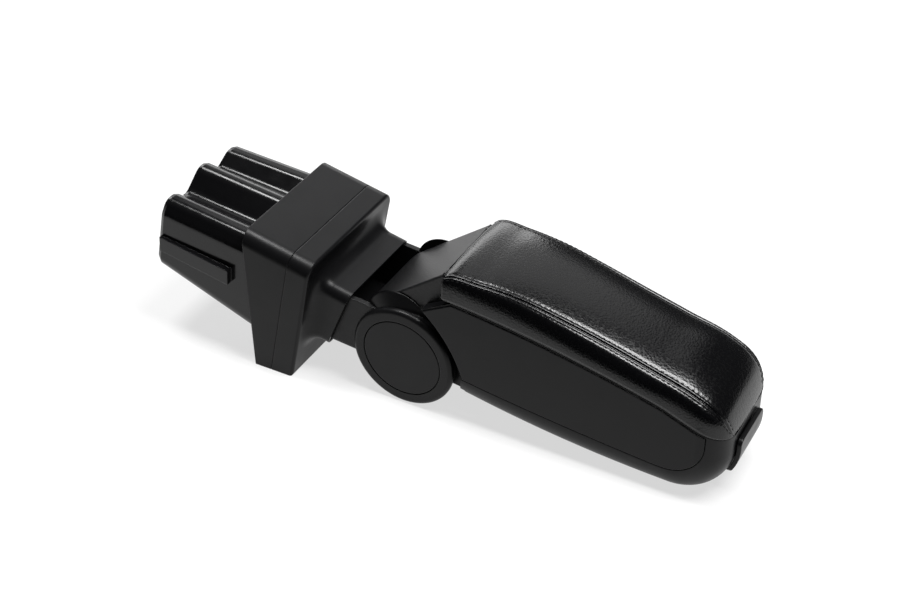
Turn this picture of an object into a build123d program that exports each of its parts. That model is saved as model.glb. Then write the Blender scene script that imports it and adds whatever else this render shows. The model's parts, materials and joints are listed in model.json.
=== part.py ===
from build123d import *
import math
import os

os.makedirs("parts", exist_ok=True)

# Lengths are in millimetres, angles in degrees.
# Everything is drawn about the hinge axle, x towards the arm's front and z up.

# Hinge
axle_height = 42.0
axle_radius = 5.0
running_play = 0.05
seat_play = 0.02
disc_radius = 41.7
disc_face = 45.0
disc_round = 3.4
ring_bore = 32.3
ring_back = 1.3
ring_back_bore = 15.0
cap_groove = 0.6
cap_skirt = 2.2
cap_plate = 1.6
cap_edge = 0.5
ear_inner = 36.5
ear_thick = 4.0
ear_outer = ear_inner + ear_thick
ear_head_radius = 34.0
axle_head_radius = 11.0
axle_head_thick = 2.3
spring_washer_inner = 5.4
spring_washer_outer = 10.5
spring_washer_thick = 0.7
spring_washer_cone = 0.4
nut_thick = 1.3
cheek_radius = 40.5
cheek_gap = 0.1
cheek_ear_gap = 0.25
hump_radius = 26.4
hump_top_radius = 15.0
hump_at = (-6.2, 26.4)
lug_face = 34.7
lug_boss_radius = 15.0
washer_radius = 14.0
washer_gap = 0.1

# Base tilt and collar
base_tilt = 12.75
collar_half = 59.0
collar_top = 50.0
collar_front = -78.8
collar_split = -97.0
collar_rear = -123.7
collar_wall = 3.0
collar_top_round = 11.0
collar_edge_round = 2.5
split_chamfer = 0.7
tongue_depth = 5.0
tongue_thick = 1.8
tongue_play = 0.2
neck_half = 44.5
neck_half_height = 28.5
neck_corner = 9.0
neck_flare = 13.0
neck_wall = 2.7
neck_bore_corner = 2.5
mouth_point = (-43.5, 39.5)
mouth_slope = 23.4
far = 400.0

# Console plug, its sections lie square to the base axis
plug_rear = -214.5
plug_bevel = 3.0
plug_mouth = -112.0
plug_wall = 2.6
plug_half_rear = 50.0
plug_half_mouth = 54.5
plug_top_rear = 31.0
plug_top_mouth = 42.8
plug_bottom_rear = -35.0
plug_bottom_mouth = -45.0
ridge_share = 0.788
ridge_rise_rear = 13.0
ridge_rise_mouth = 8.2
ridge_middle_round = 9.0
valley_drop = 12.5
valley_round = 7.0
side_ridge_flat = 10.0
side_ridge_round = 7.0
side_ridge_drop = 11.0
plug_shoulder_round = 12.0
plug_corner = 12.0
plug_play = 1.0
flange_thick = 3.0
flange_half = 55.0
flange_low = -28.0
flange_high = 68.0
flange_gap = 0.3
rail_rear = -212.0
rail_front = -146.0
rail_slope = 6.5
rail_top = 3.0
rail_height = 13.0
rail_proud_rear = 3.0
rail_proud_front = 5.0
rail_root = 2.0
screw_boss_radius = 4.2
screw_boss_length = 12.0

# Hinge bracket
bracket_tilt = 6.0
bracket_top = 31.5
bracket_bottom = -17.1
bracket_web = 3.0
bracket_fold = 4.4
bracket_fold_inner = 1.4
bracket_flange_thick = 4.0
bracket_flange_half = 50.0
bracket_flange_low = -8.0
bracket_flange_high = 57.0
bracket_screw_y = 45.5
bracket_screw_z = (4.0, 49.0)
bracket_screw_radius = 2.0
bracket_screw_head = 3.8
bracket_screw_head_thick = 2.6
bracket_screw_length = 14.0
bracket_neck_gap = 1.0

# Hood over the hinge barrel
barrel_radius = 46.0
barrel_gap = 0.6
barrel_end = 215.0
straight_up = 90.0
hood_half = 35.8
hood_wall = 2.5
hood_skirt = 2.0
hood_front = 31.4
hood_top = 80.2
hood_edge_round = 1.8
hood_front_wall = 2.0
hood_front_low = 58.0
hood_boss_radius = 4.0
hood_boss_x = 24.0
hood_boss_y = 17.0
hood_screw_radius = 1.5
hood_screw_head = 3.4
hood_screw_head_thick = 2.2
hood_screw_length = 14.0

# Arm shell
arm_half = 44.5
arm_front = 250.0
arm_round = 22.0
arm_wall = 4.0
floor_wall = 3.0
rim_rear = (32.0, 65.4)
rim_join_x = 42.0
rim_rear_slope = 6.3
rim_mid_slope = 15.4
rim_front_slope = 22.0
rim_long_radius = 1000.0
rim_bend_radius = 80.0
shoulder_low = (17.6, 50.5)
tail_mid = (42.1, 18.4)
tail_low = (49.2, -1.1)
keel_rear = (45.0, -23.0)
keel_radius = 900.0
nose_radius = 40.0
bay_rear = 53.0
rear_wall = 3.0
side_tail_thick = 3.5
side_tail_inner = arm_half - side_tail_thick
ledge_thick = 2.5
ledge_inner = hood_half + 0.5
lug_inner = 22.0
lug_plate_face = 33.3
lug_low = -20.0
lug_top_angle = 125.0
lug_low_angle = -70.0
deck_top = 47.0
deck_thick = 3.0
deck_rear = 18.0

# Side panels
panel_depth = 2.2
panel_proud = 0.5
panel_groove = 0.5
panel_top_gap = 1.6
panel_tail_gap = 0.8
panel_bottom_mid = (128.5, -11.4)
panel_bottom_front = (203.0, -18.3)
panel_front = 234.8
panel_front_round = 28.0
panel_edge = 0.5

# Lid
lid_gap = 0.8
lid_plate = 3.0
lid_rear = 33.2
lid_upstand = 1.8
lid_upstand_half = 34.6
lid_front_gap = 1.0
pad_gap = 0.1
pad_band = 3.0
pad_seam_half = 40.0
pad_seam_height = 17.0
pad_crown = 5.0
pad_nose_round = 14.0
pad_nose_drop = 3.0
pad_nose_start = 97.0
lid_axis = (32.3, 79.0)
lid_pin_radius = 0.9
knuckle_radius = 1.8
knuckle_clear = 0.5
knuckle_side_gap = 0.3
hood_knuckle = (28.0, 31.0)
lid_knuckle = (31.3, 34.3)
lid_screw_radius = 1.5
lid_screw_head = 3.0
lid_screw_head_thick = 1.8
lid_screw_length = 9.0
lid_screw_gap = 0.05
lid_screw_y = 28.0
lid_screw_x = (75.0, 205.0)

# Latch
latch_axis = (246.2, 6.5)
latch_pin_radius = 1.2
latch_pin_half = 15.0
latch_hub_radius = 2.4
latch_lever_half = 7.4
latch_window_half = 11.0
latch_window_low = -2.0
latch_window_high = 4.6
latch_skin = 1.1
paddle_half = 21.8
paddle_low = -25.0
paddle_high = 6.0
paddle_gap = 0.6
paddle_thick = 3.2
paddle_corner = 5.0
paddle_edge = 0.9
lever_low = 0.0
lever_high = 3.5
hook_rear = 242.2
hook_front = 244.0
hook_tip = 244.8
hook_nose_low = 12.1
hook_top = 14.0
catch_half = 7.0
catch_foot_low = 10.5
catch_foot_high = 11.8
catch_foot_rear = 245.1
catch_tab_rear = 245.6
catch_tab_front = 246.9
catch_top_rear = 246.4
catch_top_front = 248.0
catch_pad_rear = 232.0
catch_pad_thick = 2.0
boss_depth = 4.0
boss_low = 2.0
boss_high = 11.0
spring_wire = 0.35
spring_radius = 2.0
spring_turns = 3
spring_pitch = 0.8
spring_gap = 0.3


def slab(face, near, end):
    """Extrude a side-view face from y = near to y = end."""
    return Pos(0, near, 0) * extrude(Plane.XZ * face, amount=end - near, dir=(0, 1, 0))


def both(face, half):
    """Extrude a side-view face to both sides of the middle plane."""
    return slab(face, -half, half)


def polygon(*points):
    """Face through points of the side view."""
    return make_face(Polyline(*points, close=True))


def barrel(radius, near, end, at=(0.0, 0.0)):
    """Cylinder along y from y = near to y = end."""
    disc = Pos(at[0], at[1]) * Circle(radius)
    return slab(disc, near, end)


def block(x0, x1, y0, y1, z0, z1):
    """Box between two corners."""
    return Pos((x0 + x1) / 2, (y0 + y1) / 2, (z0 + z1) / 2) * Box(x1 - x0, y1 - y0, z1 - z0)


def tilt(part, angle):
    """Turn a part about the hinge axle, its rear end up."""
    return Rot(0, angle, 0) * part


def flip(part):
    """Mirror a part across the middle plane."""
    return mirror(part, about=Plane.XZ)


def polar(radius, angle):
    """Point on a circle about the axle."""
    return (radius * math.cos(math.radians(angle)), radius * math.sin(math.radians(angle)))


def edges_near(part, test):
    """Edges whose middle point passes a test."""
    return [edge for edge in part.edges() if test(edge.position_at(0.5))]


# Collar and neck
def collar_block(inset, round_top):
    """Collar body, drawn square to the base axis and trimmed by the console face and the table."""
    half = collar_half - inset
    body = block(-far, collar_front - inset, -half, half, -far, collar_top - inset)
    top_edges = body.edges().filter_by(Axis.X).group_by(Axis.Z)[-1]
    body = tilt(fillet(top_edges, round_top), base_tilt)
    trim = block(collar_rear + inset, far, -far, far, inset - axle_height, far)
    return body & trim


def before(split, shift):
    """Space behind a plane square to the base axis."""
    return tilt(block(-far, split + shift, -far, far, -far, far), base_tilt)


def plug_section(half, top, rise, bottom, pitch, at):
    """Plug outline with a high middle ridge and a lower ridge on each side."""
    right = [
        ((0, top + rise), ridge_middle_round),
        ((pitch / 2, top - valley_drop), valley_round),
        ((pitch - side_ridge_flat / 2, top), side_ridge_round),
        ((pitch + side_ridge_flat / 2, top), side_ridge_round),
        ((half, top - side_ridge_drop), plug_shoulder_round),
        ((half, bottom), plug_corner),
    ]
    left = [((-point[0], point[1]), size) for point, size in reversed(right[1:])]
    outline = polygon(*[point for point, size in right + left])
    for point, size in right + left:
        corner = min(outline.vertices(), key=lambda vertex: math.dist((vertex.X, vertex.Y), point))
        outline = fillet(corner, size)
    frame = Plane(origin=(at, 0, 0), x_dir=(0, 1, 0), z_dir=(1, 0, 0))
    return frame * outline


def plug_outline(at, outset):
    """Plug outline at a station on the base axis, grown by an outset."""
    share = (at - plug_rear) / (plug_mouth - plug_rear)
    half = plug_half_rear + share * (plug_half_mouth - plug_half_rear)
    top = plug_top_rear + share * (plug_top_mouth - plug_top_rear) + outset
    bottom = plug_bottom_rear + share * (plug_bottom_mouth - plug_bottom_rear) - outset
    rise = ridge_rise_rear + share * (ridge_rise_mouth - ridge_rise_rear)
    return plug_section(half + outset, top, rise, bottom, ridge_share * half, at)


def plug_shell(outset, rear, front):
    """Straight drafted plug body between two stations on the base axis."""
    return loft([plug_outline(rear, outset), plug_outline(front, outset)], ruled=True)


collar_outer = collar_block(0.0, collar_top_round)
front_face = max(collar_outer.faces(), key=lambda face: face.center().X)
collar_outer = fillet(front_face.edges(), collar_edge_round)
collar_inner = collar_block(collar_wall, collar_top_round - collar_wall)

plug_hole = tilt(plug_shell(plug_play, plug_rear, plug_mouth), base_tilt)
base_collar = collar_outer & before(collar_split, 0.0)
base_collar -= collar_inner
base_collar -= plug_hole
split_normal = Vector(math.cos(math.radians(base_tilt)), 0, -math.sin(math.radians(base_tilt)))


def on_split(point):
    """Tell if a point lies on the collar's split plane, on its outer edge."""
    flat = abs(point.dot(split_normal) - collar_split) < 0.05
    outer = abs(point.Y) > collar_half - 0.5 or point.Z > collar_top
    return flat and outer


base_collar = chamfer(edges_near(base_collar, on_split), split_chamfer)

neck_section = RectangleRounded(2 * neck_half, 2 * neck_half_height, neck_corner)
neck_frame = Plane(origin=(collar_front - collar_wall, 0, 0), x_dir=(0, 1, 0), z_dir=(1, 0, 0))
neck_length = -collar_front
neck = tilt(extrude(neck_frame * neck_section, amount=neck_length), base_tilt)
mouth_rise = (math.sin(math.radians(mouth_slope)), math.cos(math.radians(mouth_slope)))
mouth_frame = Plane(
    origin=(mouth_point[0], 0, mouth_point[1]),
    x_dir=(0, 1, 0),
    z_dir=(mouth_rise[1], 0, -mouth_rise[0]),
)
beyond_mouth = extrude(mouth_frame * Rectangle(far, far), amount=far)
neck -= beyond_mouth
neck_cover = (collar_outer - before(collar_split, 0.0)) + neck


def on_front(point):
    """Tell if a point lies on the collar's front face, round the neck."""
    flat = abs(point.dot(split_normal) - collar_front) < 0.05
    return flat and abs(point.Y) < neck_half + 0.5 and point.Z < collar_top


neck_cover = fillet(edges_near(neck_cover, on_front), neck_flare)
bore_section = RectangleRounded(
    2 * (neck_half - neck_wall),
    2 * (neck_half_height - neck_wall),
    neck_bore_corner,
)
bore_frame = Plane(origin=(collar_split, 0, 0), x_dir=(0, 1, 0), z_dir=(1, 0, 0))
neck_bore = tilt(extrude(bore_frame * bore_section, amount=far), base_tilt)
neck_cover -= collar_inner
neck_cover -= neck_bore
tongue_outer = collar_block(collar_wall + tongue_play, collar_top_round - collar_wall)
tongue_inset = collar_wall + tongue_play + tongue_thick
tongue_inner = collar_block(tongue_inset, collar_top_round - collar_wall - tongue_thick)
tongue = tongue_outer - tongue_inner
tongue &= before(collar_split, tongue_depth) - before(collar_split, -tongue_depth)
tongue_root = collar_block(collar_wall / 2, collar_top_round - collar_wall / 2) - tongue_inner
tongue_root &= before(collar_split, tongue_depth) - before(collar_split, 0.0)
neck_cover += tongue + tongue_root

# Console plug with its flange, snap wedges and screw bosses
plug_body = plug_shell(0.0, plug_rear + plug_bevel, plug_mouth)
plug_end = [plug_outline(plug_rear, -plug_bevel / 2), plug_outline(plug_rear + plug_bevel, 0.0)]
plug_body += loft(plug_end, ruled=True)
plug_hollow = plug_shell(-plug_wall, plug_rear - plug_bevel, plug_mouth + plug_bevel)


def rail(side):
    """Snap wedge on one side of the plug."""
    rear_half = plug_half_rear
    front_share = (rail_front - plug_rear) / (plug_mouth - plug_rear)
    front_half = plug_half_rear + front_share * (plug_half_mouth - plug_half_rear)
    outline = make_face(
        Polyline(
            (rail_rear, rear_half - rail_root),
            (rail_rear, rear_half + rail_proud_rear),
            (rail_front, front_half + rail_proud_front),
            (rail_front, front_half - rail_root),
            close=True,
        )
    )
    bar = Pos(0, 0, rail_top - rail_height) * extrude(outline, amount=rail_height, dir=(0, 0, 1))
    rail_mid = (rail_rear + rail_front) / 2
    bar = Pos(rail_mid, 0, 0) * Rot(0, -rail_slope, 0) * Pos(-rail_mid, 0, 0) * bar
    return bar if side > 0 else flip(bar)


plug_solid = tilt(plug_body + rail(1) + rail(-1), base_tilt)
flange_rear = collar_rear + collar_wall + flange_gap
flange_front = flange_rear + flange_thick
plug_solid &= block(-far, flange_front, -far, far, -far, far)
hollow = tilt(plug_hollow, base_tilt) & block(-far, flange_rear, -far, far, -far, far)
console_plug = plug_solid - hollow
console_plug += block(flange_rear, flange_front, -flange_half, flange_half, flange_low, flange_high)
screw_spots = [(y, z) for y in (-bracket_screw_y, bracket_screw_y) for z in bracket_screw_z]
boss_rear = flange_rear - screw_boss_length


def rod(radius, x0, x1, y, z):
    """Cylinder along x."""
    return Pos((x0 + x1) / 2, y, z) * Rot(0, 90, 0) * Cylinder(radius, x1 - x0)


plug_inside = tilt(plug_shell(0.0, plug_rear, plug_mouth), base_tilt)
for y, z in screw_spots:
    console_plug += rod(screw_boss_radius, boss_rear, flange_front, y, z) & plug_inside
for y, z in screw_spots:
    console_plug -= rod(bracket_screw_radius + seat_play, boss_rear - 1, flange_front + 1, y, z)

# Hinge bracket
channel_outer = Rectangle(2 * ear_outer, bracket_top - bracket_bottom)
channel_outer = fillet(channel_outer.vertices().group_by(Axis.Y)[-1], bracket_fold)
channel_inner = Rectangle(2 * ear_inner, bracket_top - bracket_bottom)
channel_inner = fillet(channel_inner.vertices().group_by(Axis.Y)[-1], bracket_fold_inner)
channel = channel_outer - Pos(0, -bracket_web) * channel_inner
channel_frame = Plane(origin=(0, 0, (bracket_top + bracket_bottom) / 2), x_dir=(0, 1, 0), z_dir=(-1, 0, 0))
strap = tilt(extrude(channel_frame * channel, amount=far / 2), bracket_tilt)
bracket_rear = flange_front
strap &= block(bracket_rear, far, -far, far, -far, far)
neck_floor = neck_wall + bracket_neck_gap - neck_half_height
strap &= tilt(block(-far, far, -far, far, neck_floor, far), base_tilt)
hinge_bracket = strap - barrel(barrel_radius + barrel_gap, -ear_inner, ear_inner)
for side in (-1, 1):
    near, end = sorted((side * ear_inner, side * ear_outer))
    hinge_bracket += barrel(ear_head_radius, near, end)
hinge_bracket += block(
    bracket_rear,
    bracket_rear + bracket_flange_thick,
    -bracket_flange_half,
    bracket_flange_half,
    bracket_flange_low,
    bracket_flange_high,
)
hinge_bracket -= barrel(axle_radius + seat_play, -far, far)
flange_end = bracket_rear + bracket_flange_thick
for y, z in screw_spots:
    hinge_bracket -= rod(bracket_screw_radius + running_play, bracket_rear - 1, flange_end + 1, y, z)
bracket_screws = []
for y, z in screw_spots:
    shank = rod(bracket_screw_radius, flange_end - bracket_screw_length, flange_end, y, z)
    head = rod(bracket_screw_head, flange_end, flange_end + bracket_screw_head_thick, y, z)
    bracket_screws.append(shank + head)

# Hinge stack on the +y side, mirrored for the other
ear_shape = barrel(ear_head_radius + cheek_ear_gap, ear_inner, ear_outer + cheek_gap)
ear_strap = tilt(
    block(
        -far,
        0,
        ear_inner - 1,
        ear_outer + 1,
        bracket_bottom - cheek_ear_gap,
        bracket_top + cheek_ear_gap,
    ),
    bracket_tilt,
)
cheek_near = ear_inner + cheek_gap
hump_height = ear_outer - cheek_near
hump = Cone(hump_radius, hump_top_radius, hump_height, align=(Align.CENTER, Align.CENTER, Align.MIN))
hump = Pos(hump_at[0], cheek_near, hump_at[1]) * Rot(-90, 0, 0) * hump
cheek = barrel(cheek_radius, cheek_near, ear_outer) + hump
cheek -= ear_shape
cheek -= ear_strap
hinge_cheek_left = cheek
hinge_cheek_right = flip(cheek)

ring = barrel(disc_radius, ear_outer, disc_face)
ring_rim = edges_near(ring, lambda point: abs(point.Y - disc_face) < 0.01)
ring = fillet(ring_rim, disc_round)
ring -= barrel(ring_bore, ear_outer + ring_back, far)
ring -= barrel(ring_back_bore, 0, far)
hinge_ring_left = ring
hinge_ring_right = flip(ring)

cap_near = ear_outer + ring_back
cap = barrel(ring_bore - cap_groove, cap_near, disc_face)
cap_rim = edges_near(cap, lambda point: abs(point.Y - disc_face) < 0.01)
cap = fillet(cap_rim, cap_edge)
cap -= barrel(ring_bore - cap_groove - cap_skirt, 0, disc_face - cap_plate)
hinge_cap_left = cap
hinge_cap_right = flip(cap)

spring_washer_near = ear_outer
spring_washer_end = spring_washer_near + spring_washer_thick + spring_washer_cone
nut_end = spring_washer_end + nut_thick
hinge_axle = barrel(axle_radius, -ear_outer, nut_end)
hinge_axle += barrel(axle_head_radius, -ear_outer - axle_head_thick, -ear_outer)
axle_nut = barrel(axle_head_radius, spring_washer_end, nut_end)
axle_nut -= barrel(axle_radius + seat_play, 0, far)
washer_face = make_face(
    Polyline(
        (spring_washer_inner, spring_washer_near + spring_washer_cone, 0),
        (spring_washer_outer, spring_washer_near, 0),
        (spring_washer_outer, spring_washer_near + spring_washer_thick, 0),
        (spring_washer_inner, spring_washer_end, 0),
        close=True,
    )
)
spring_washer = revolve(washer_face, Axis.Y)
friction_washer = barrel(washer_radius, lug_face + washer_gap, ear_inner - washer_gap)
friction_washer -= barrel(axle_radius + 2 * running_play, 0, far)
friction_washers = [friction_washer, flip(friction_washer)]

# Rim line between the lid and the bin: a long bend, a short bend and a straight front run
rim_join_fall = (rim_join_x - rim_rear[0]) * math.tan(math.radians(rim_rear_slope))
rim_join = (rim_join_x, rim_rear[1] - rim_join_fall)
rim_dir = (math.cos(math.radians(rim_rear_slope)), -math.sin(math.radians(rim_rear_slope)))
rim_long = JernArc(rim_join, rim_dir, rim_long_radius, rim_rear_slope - rim_mid_slope)
rim_bend = JernArc(rim_long @ 1, rim_long % 1, rim_bend_radius, rim_mid_slope - rim_front_slope)
rim_long_end = rim_long @ 1
rim_bend_end = rim_bend @ 1


def rim_slope(x):
    """Fall of the rim at a station, in degrees."""
    if x < rim_join[0]:
        return rim_rear_slope
    if x < rim_long_end.X:
        lean = (x - rim_join[0]) / rim_long_radius + math.sin(math.radians(rim_rear_slope))
        return math.degrees(math.asin(lean))
    if x < rim_bend_end.X:
        lean = (x - rim_long_end.X) / rim_bend_radius + math.sin(math.radians(rim_mid_slope))
        return math.degrees(math.asin(lean))
    return rim_front_slope


def rim_z(x):
    """Height of the rim at a station."""
    lift = math.cos(math.radians(rim_slope(x)))
    if x < rim_join[0]:
        return rim_rear[1] - (x - rim_rear[0]) * math.tan(math.radians(rim_rear_slope))
    if x < rim_long_end.X:
        return rim_join[1] + rim_long_radius * (lift - math.cos(math.radians(rim_rear_slope)))
    if x < rim_bend_end.X:
        return rim_long_end.Y + rim_bend_radius * (lift - math.cos(math.radians(rim_mid_slope)))
    return rim_bend_end.Y - (x - rim_bend_end.X) * math.tan(math.radians(rim_front_slope))


def rim_edges(lift, end_x):
    """Rim curve from the join to a station, lifted."""
    run = Line(rim_bend_end, (end_x, rim_z(end_x)))
    return [Pos(0, lift) * edge for edge in (rim_long, rim_bend, run)]


def lid_band(low, high, rear_x, end_x):
    """Side-view face between two lifted copies of the rim."""
    rear_z = rim_z(rear_x)
    lines = rim_edges(low, end_x) + rim_edges(high, end_x)
    for lift in (low, high):
        lines.append(Line((rear_x, rear_z + lift), (rim_join[0], rim_join[1] + lift)))
    lines.append(Line((rear_x, rear_z + low), (rear_x, rear_z + high)))
    lines.append(Line((end_x, rim_z(end_x) + low), (end_x, rim_z(end_x) + high)))
    return make_face(lines)


def arm_plan(inset):
    """Arm outline from above as a tall block."""
    body = block(-far, arm_front - inset, inset - arm_half, arm_half - inset, -far, far)
    corners = body.edges().filter_by(Axis.Z).group_by(Axis.X)[-1]
    return fillet(corners, arm_round - inset)


# Keel arc that passes the keel's rear end and runs into the nose arc without a corner
nose_at = (arm_front - nose_radius, nose_radius - axle_height)
nose_run = nose_at[0] - keel_rear[0]
nose_rise = nose_at[1] - keel_rear[1]
nose_span = math.hypot(nose_run, nose_rise)
keel_reach = (keel_radius**2 - (keel_radius - nose_radius) ** 2 + nose_span**2) / (2 * nose_span)
keel_lift = math.sqrt(keel_radius**2 - keel_reach**2)
keel_at = (
    keel_rear[0] + (keel_reach * nose_run - keel_lift * nose_rise) / nose_span,
    keel_rear[1] + (keel_reach * nose_rise + keel_lift * nose_run) / nose_span,
)
keel_end_angle = math.atan2(nose_at[1] - keel_at[1], nose_at[0] - keel_at[0])
keel_start_angle = math.atan2(keel_rear[1] - keel_at[1], keel_rear[0] - keel_at[0])


def around(at, radius, angle):
    """Point on a circle of the side view, its angle in radians."""
    return (at[0] + radius * math.cos(angle), at[1] + radius * math.sin(angle))


keel_mid = around(keel_at, keel_radius, (keel_start_angle + keel_end_angle) / 2)
keel_front = around(keel_at, keel_radius, keel_end_angle)
nose_mid = around(nose_at, nose_radius, keel_end_angle / 2)
nose_top = (arm_front, nose_at[1])
keel_line = [ThreePointArc(nose_top, nose_mid, keel_front), ThreePointArc(keel_front, keel_mid, keel_rear)]
keel_dir = (-math.sin(keel_start_angle), math.cos(keel_start_angle))
hull_rear = (keel_rear[0] - far * keel_dir[0], keel_rear[1] - far * keel_dir[1])
hull_face = make_face(
    keel_line
    + [
        Line(keel_rear, hull_rear),
        Line(hull_rear, (hull_rear[0], far)),
        Line((hull_rear[0], far), (arm_front, far)),
        Line((arm_front, far), nose_top),
    ]
)


def hull(inset):
    """Tall arm body, one round running along both sides of the keel, the nose and the front."""
    body = both(hull_face, arm_half - inset)

    def on_outline(point):
        """Tell if a point lies on a side's outline, ahead of the rear end and below the top."""
        return abs(point.Y) > 1 and point.X > hull_rear[0] + 1 and point.Z < far - 1

    return fillet(edges_near(body, on_outline), arm_round - inset)


# Storage bin
bin_face = make_face(
    rim_edges(0.0, arm_front)
    + keel_line
    + [
        Line((arm_front, rim_z(arm_front)), nose_top),
        Line(keel_rear, tail_low),
        ThreePointArc(tail_low, tail_mid, shoulder_low),
        Line(shoulder_low, rim_join),
    ]
)
storage_bin = both(bin_face, arm_half) & hull(0.0)
storage_bin -= block(-far, bay_rear - rear_wall, -side_tail_inner, side_tail_inner, -far, far)
bay = Pos(-arm_wall, 0, floor_wall) * hull(arm_wall)
storage_bin -= bay & block(bay_rear, far, -far, far, -far, far)

ledge_lines = polygon(
    shoulder_low,
    rim_join,
    (bay_rear, rim_join[1]),
    (bay_rear, rim_join[1] - ledge_thick),
    (rim_join[0], rim_join[1] - ledge_thick),
    (shoulder_low[0], shoulder_low[1] - ledge_thick),
)
for side in (-1, 1):
    near, end = sorted((side * ledge_inner, side * arm_half))
    storage_bin += slab(ledge_lines, near, end) & both(bin_face, arm_half)

lug_outline = Circle(lug_boss_radius) + polygon(
    polar(lug_boss_radius, lug_top_angle),
    (deck_rear, deck_top),
    (bay_rear, deck_top),
    (bay_rear, lug_low),
    polar(lug_boss_radius, lug_low_angle),
)
for side in (-1, 1):
    near, end = sorted((side * lug_inner, side * lug_plate_face))
    storage_bin += slab(lug_outline, near, end)
    near, end = sorted((side * lug_inner, side * lug_face))
    storage_bin += barrel(lug_boss_radius, near, end)
storage_bin += block(deck_rear, bay_rear, -lug_plate_face, lug_plate_face, deck_top - deck_thick, deck_top)
storage_bin -= barrel(axle_radius + running_play, -far, far)
hood_screw_spots = [(hood_boss_x, y) for y in (-hood_boss_y, hood_boss_y)]
for x, y in hood_screw_spots:
    storage_bin -= Pos(x, y, deck_top) * Cylinder(hood_screw_radius + running_play, 4 * deck_thick)

# Side panels let into the bin
panel_top = [Pos(0, -panel_top_gap) * edge for edge in rim_edges(0.0, panel_front)]
panel_front_top = (panel_front, rim_z(panel_front) - panel_top_gap)
panel_bottom_end = (panel_front, panel_bottom_front[1])
tail_shift = [(point[0] + panel_tail_gap, point[1] - panel_tail_gap) for point in (shoulder_low, tail_mid)]
panel_tail = (tail_low[0] + panel_tail_gap, tail_low[1])
panel_face = make_face(
    panel_top
    + [
        Line(panel_front_top, panel_bottom_end),
        Line(panel_bottom_end, panel_bottom_front),
        ThreePointArc(panel_bottom_front, panel_bottom_mid, panel_tail),
        ThreePointArc(panel_tail, tail_shift[1], tail_shift[0]),
        Line(tail_shift[0], (rim_join[0], rim_join[1] - panel_top_gap)),
    ]
)
panel_corner = min(
    panel_face.vertices(),
    key=lambda vertex: math.hypot(vertex.X - panel_bottom_end[0], vertex.Y - panel_bottom_end[1]),
)
panel_face = fillet(panel_corner, panel_front_round)
recess_face = offset(panel_face, amount=panel_groove)
panel_near = arm_half - panel_depth
panel = slab(panel_face, panel_near, arm_half + panel_proud)
outer_edges = edges_near(panel, lambda point: point.Y > arm_half + panel_proud - 0.01)
panel = chamfer(outer_edges, panel_edge)
panel &= Pos(panel_proud, 0, -panel_proud) * hull(-panel_proud - seat_play)
side_panel_left = panel
side_panel_right = flip(panel)
recess = slab(recess_face, panel_near, arm_half + 1)
storage_bin -= recess
storage_bin -= flip(recess)

# Rear hood: ramp tangent to the barrel, with skirts and a front wall
ramp_lean = math.degrees(math.atan2(hood_front, hood_top))
ramp_slope = math.degrees(math.acos(barrel_radius / math.hypot(hood_front, hood_top))) - ramp_lean
barrel_start = straight_up + ramp_slope
inner_radius = barrel_radius - hood_wall
ramp_dir = (math.cos(math.radians(ramp_slope)), math.sin(math.radians(ramp_slope)))
ramp_front = (hood_front, hood_top)
drop = hood_wall / ramp_dir[0]
ramp_inner_front = (hood_front, hood_top - drop)
arc_mid = (barrel_start + barrel_end) / 2
outer_arc = [polar(barrel_radius, angle) for angle in (barrel_start, arc_mid, barrel_end)]
inner_arc = [polar(inner_radius, angle) for angle in (barrel_end, arc_mid, barrel_start)]
hood_lines = [
    Line(ramp_front, outer_arc[0]),
    ThreePointArc(*outer_arc),
    Line(outer_arc[-1], inner_arc[0]),
    ThreePointArc(*inner_arc),
    Line(inner_arc[-1], ramp_inner_front),
    Line(ramp_inner_front, ramp_front),
]
rear_hood = both(make_face(hood_lines), hood_half)
strip_slope = (rim_join[1] - shoulder_low[1]) / (rim_join[0] - shoulder_low[0])
strip_front = shoulder_low[1] + (hood_front - shoulder_low[0]) * strip_slope - ledge_thick
strip_low = shoulder_low[1] - ledge_thick
skirt_face = polygon(
    ramp_front,
    polar(barrel_radius, barrel_start),
    polar(barrel_radius, straight_up),
    (shoulder_low[0], strip_low),
    (hood_front, strip_front),
)
for side in (-1, 1):
    near, end = sorted((side * (hood_half - hood_skirt), side * hood_half))
    rear_hood += slab(skirt_face, near, end)


def on_ramp_side(point):
    """Tell if a point lies on a long top edge of the hood."""
    height = point.X * -ramp_dir[1] + point.Z * ramp_dir[0]
    return abs(abs(point.Y) - hood_half) < 0.01 and abs(height - barrel_radius) < 0.01


rear_hood = fillet(edges_near(rear_hood, on_ramp_side), hood_edge_round)
wall_top = hood_top - hood_wall
rear_hood += block(
    hood_front - hood_front_wall,
    hood_front,
    hood_skirt / 2 - hood_half,
    hood_half - hood_skirt / 2,
    hood_front_low,
    wall_top,
)
ramp_start = polar(inner_radius + 1, barrel_start)
under_ramp = polygon((0, deck_top), (hood_front, deck_top), ramp_inner_front, ramp_start)
for x, y in hood_screw_spots:
    post = Cylinder(hood_boss_radius, far / 4, align=(Align.CENTER, Align.CENTER, Align.MIN))
    rear_hood += (Pos(x, y, deck_top) * post) & both(under_ramp, hood_half)
    rear_hood -= Pos(x, y, deck_top) * Cylinder(hood_screw_radius + seat_play, 2 * hood_screw_length)
hood_screws = []
for x, y in hood_screw_spots:
    seat = deck_top - deck_thick
    shank = Pos(x, y, seat + hood_screw_length / 2) * Cylinder(hood_screw_radius, hood_screw_length)
    head = Pos(x, y, seat - hood_screw_head_thick / 2) * Cylinder(hood_screw_head, hood_screw_head_thick)
    hood_screws.append(shank + head)

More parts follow.
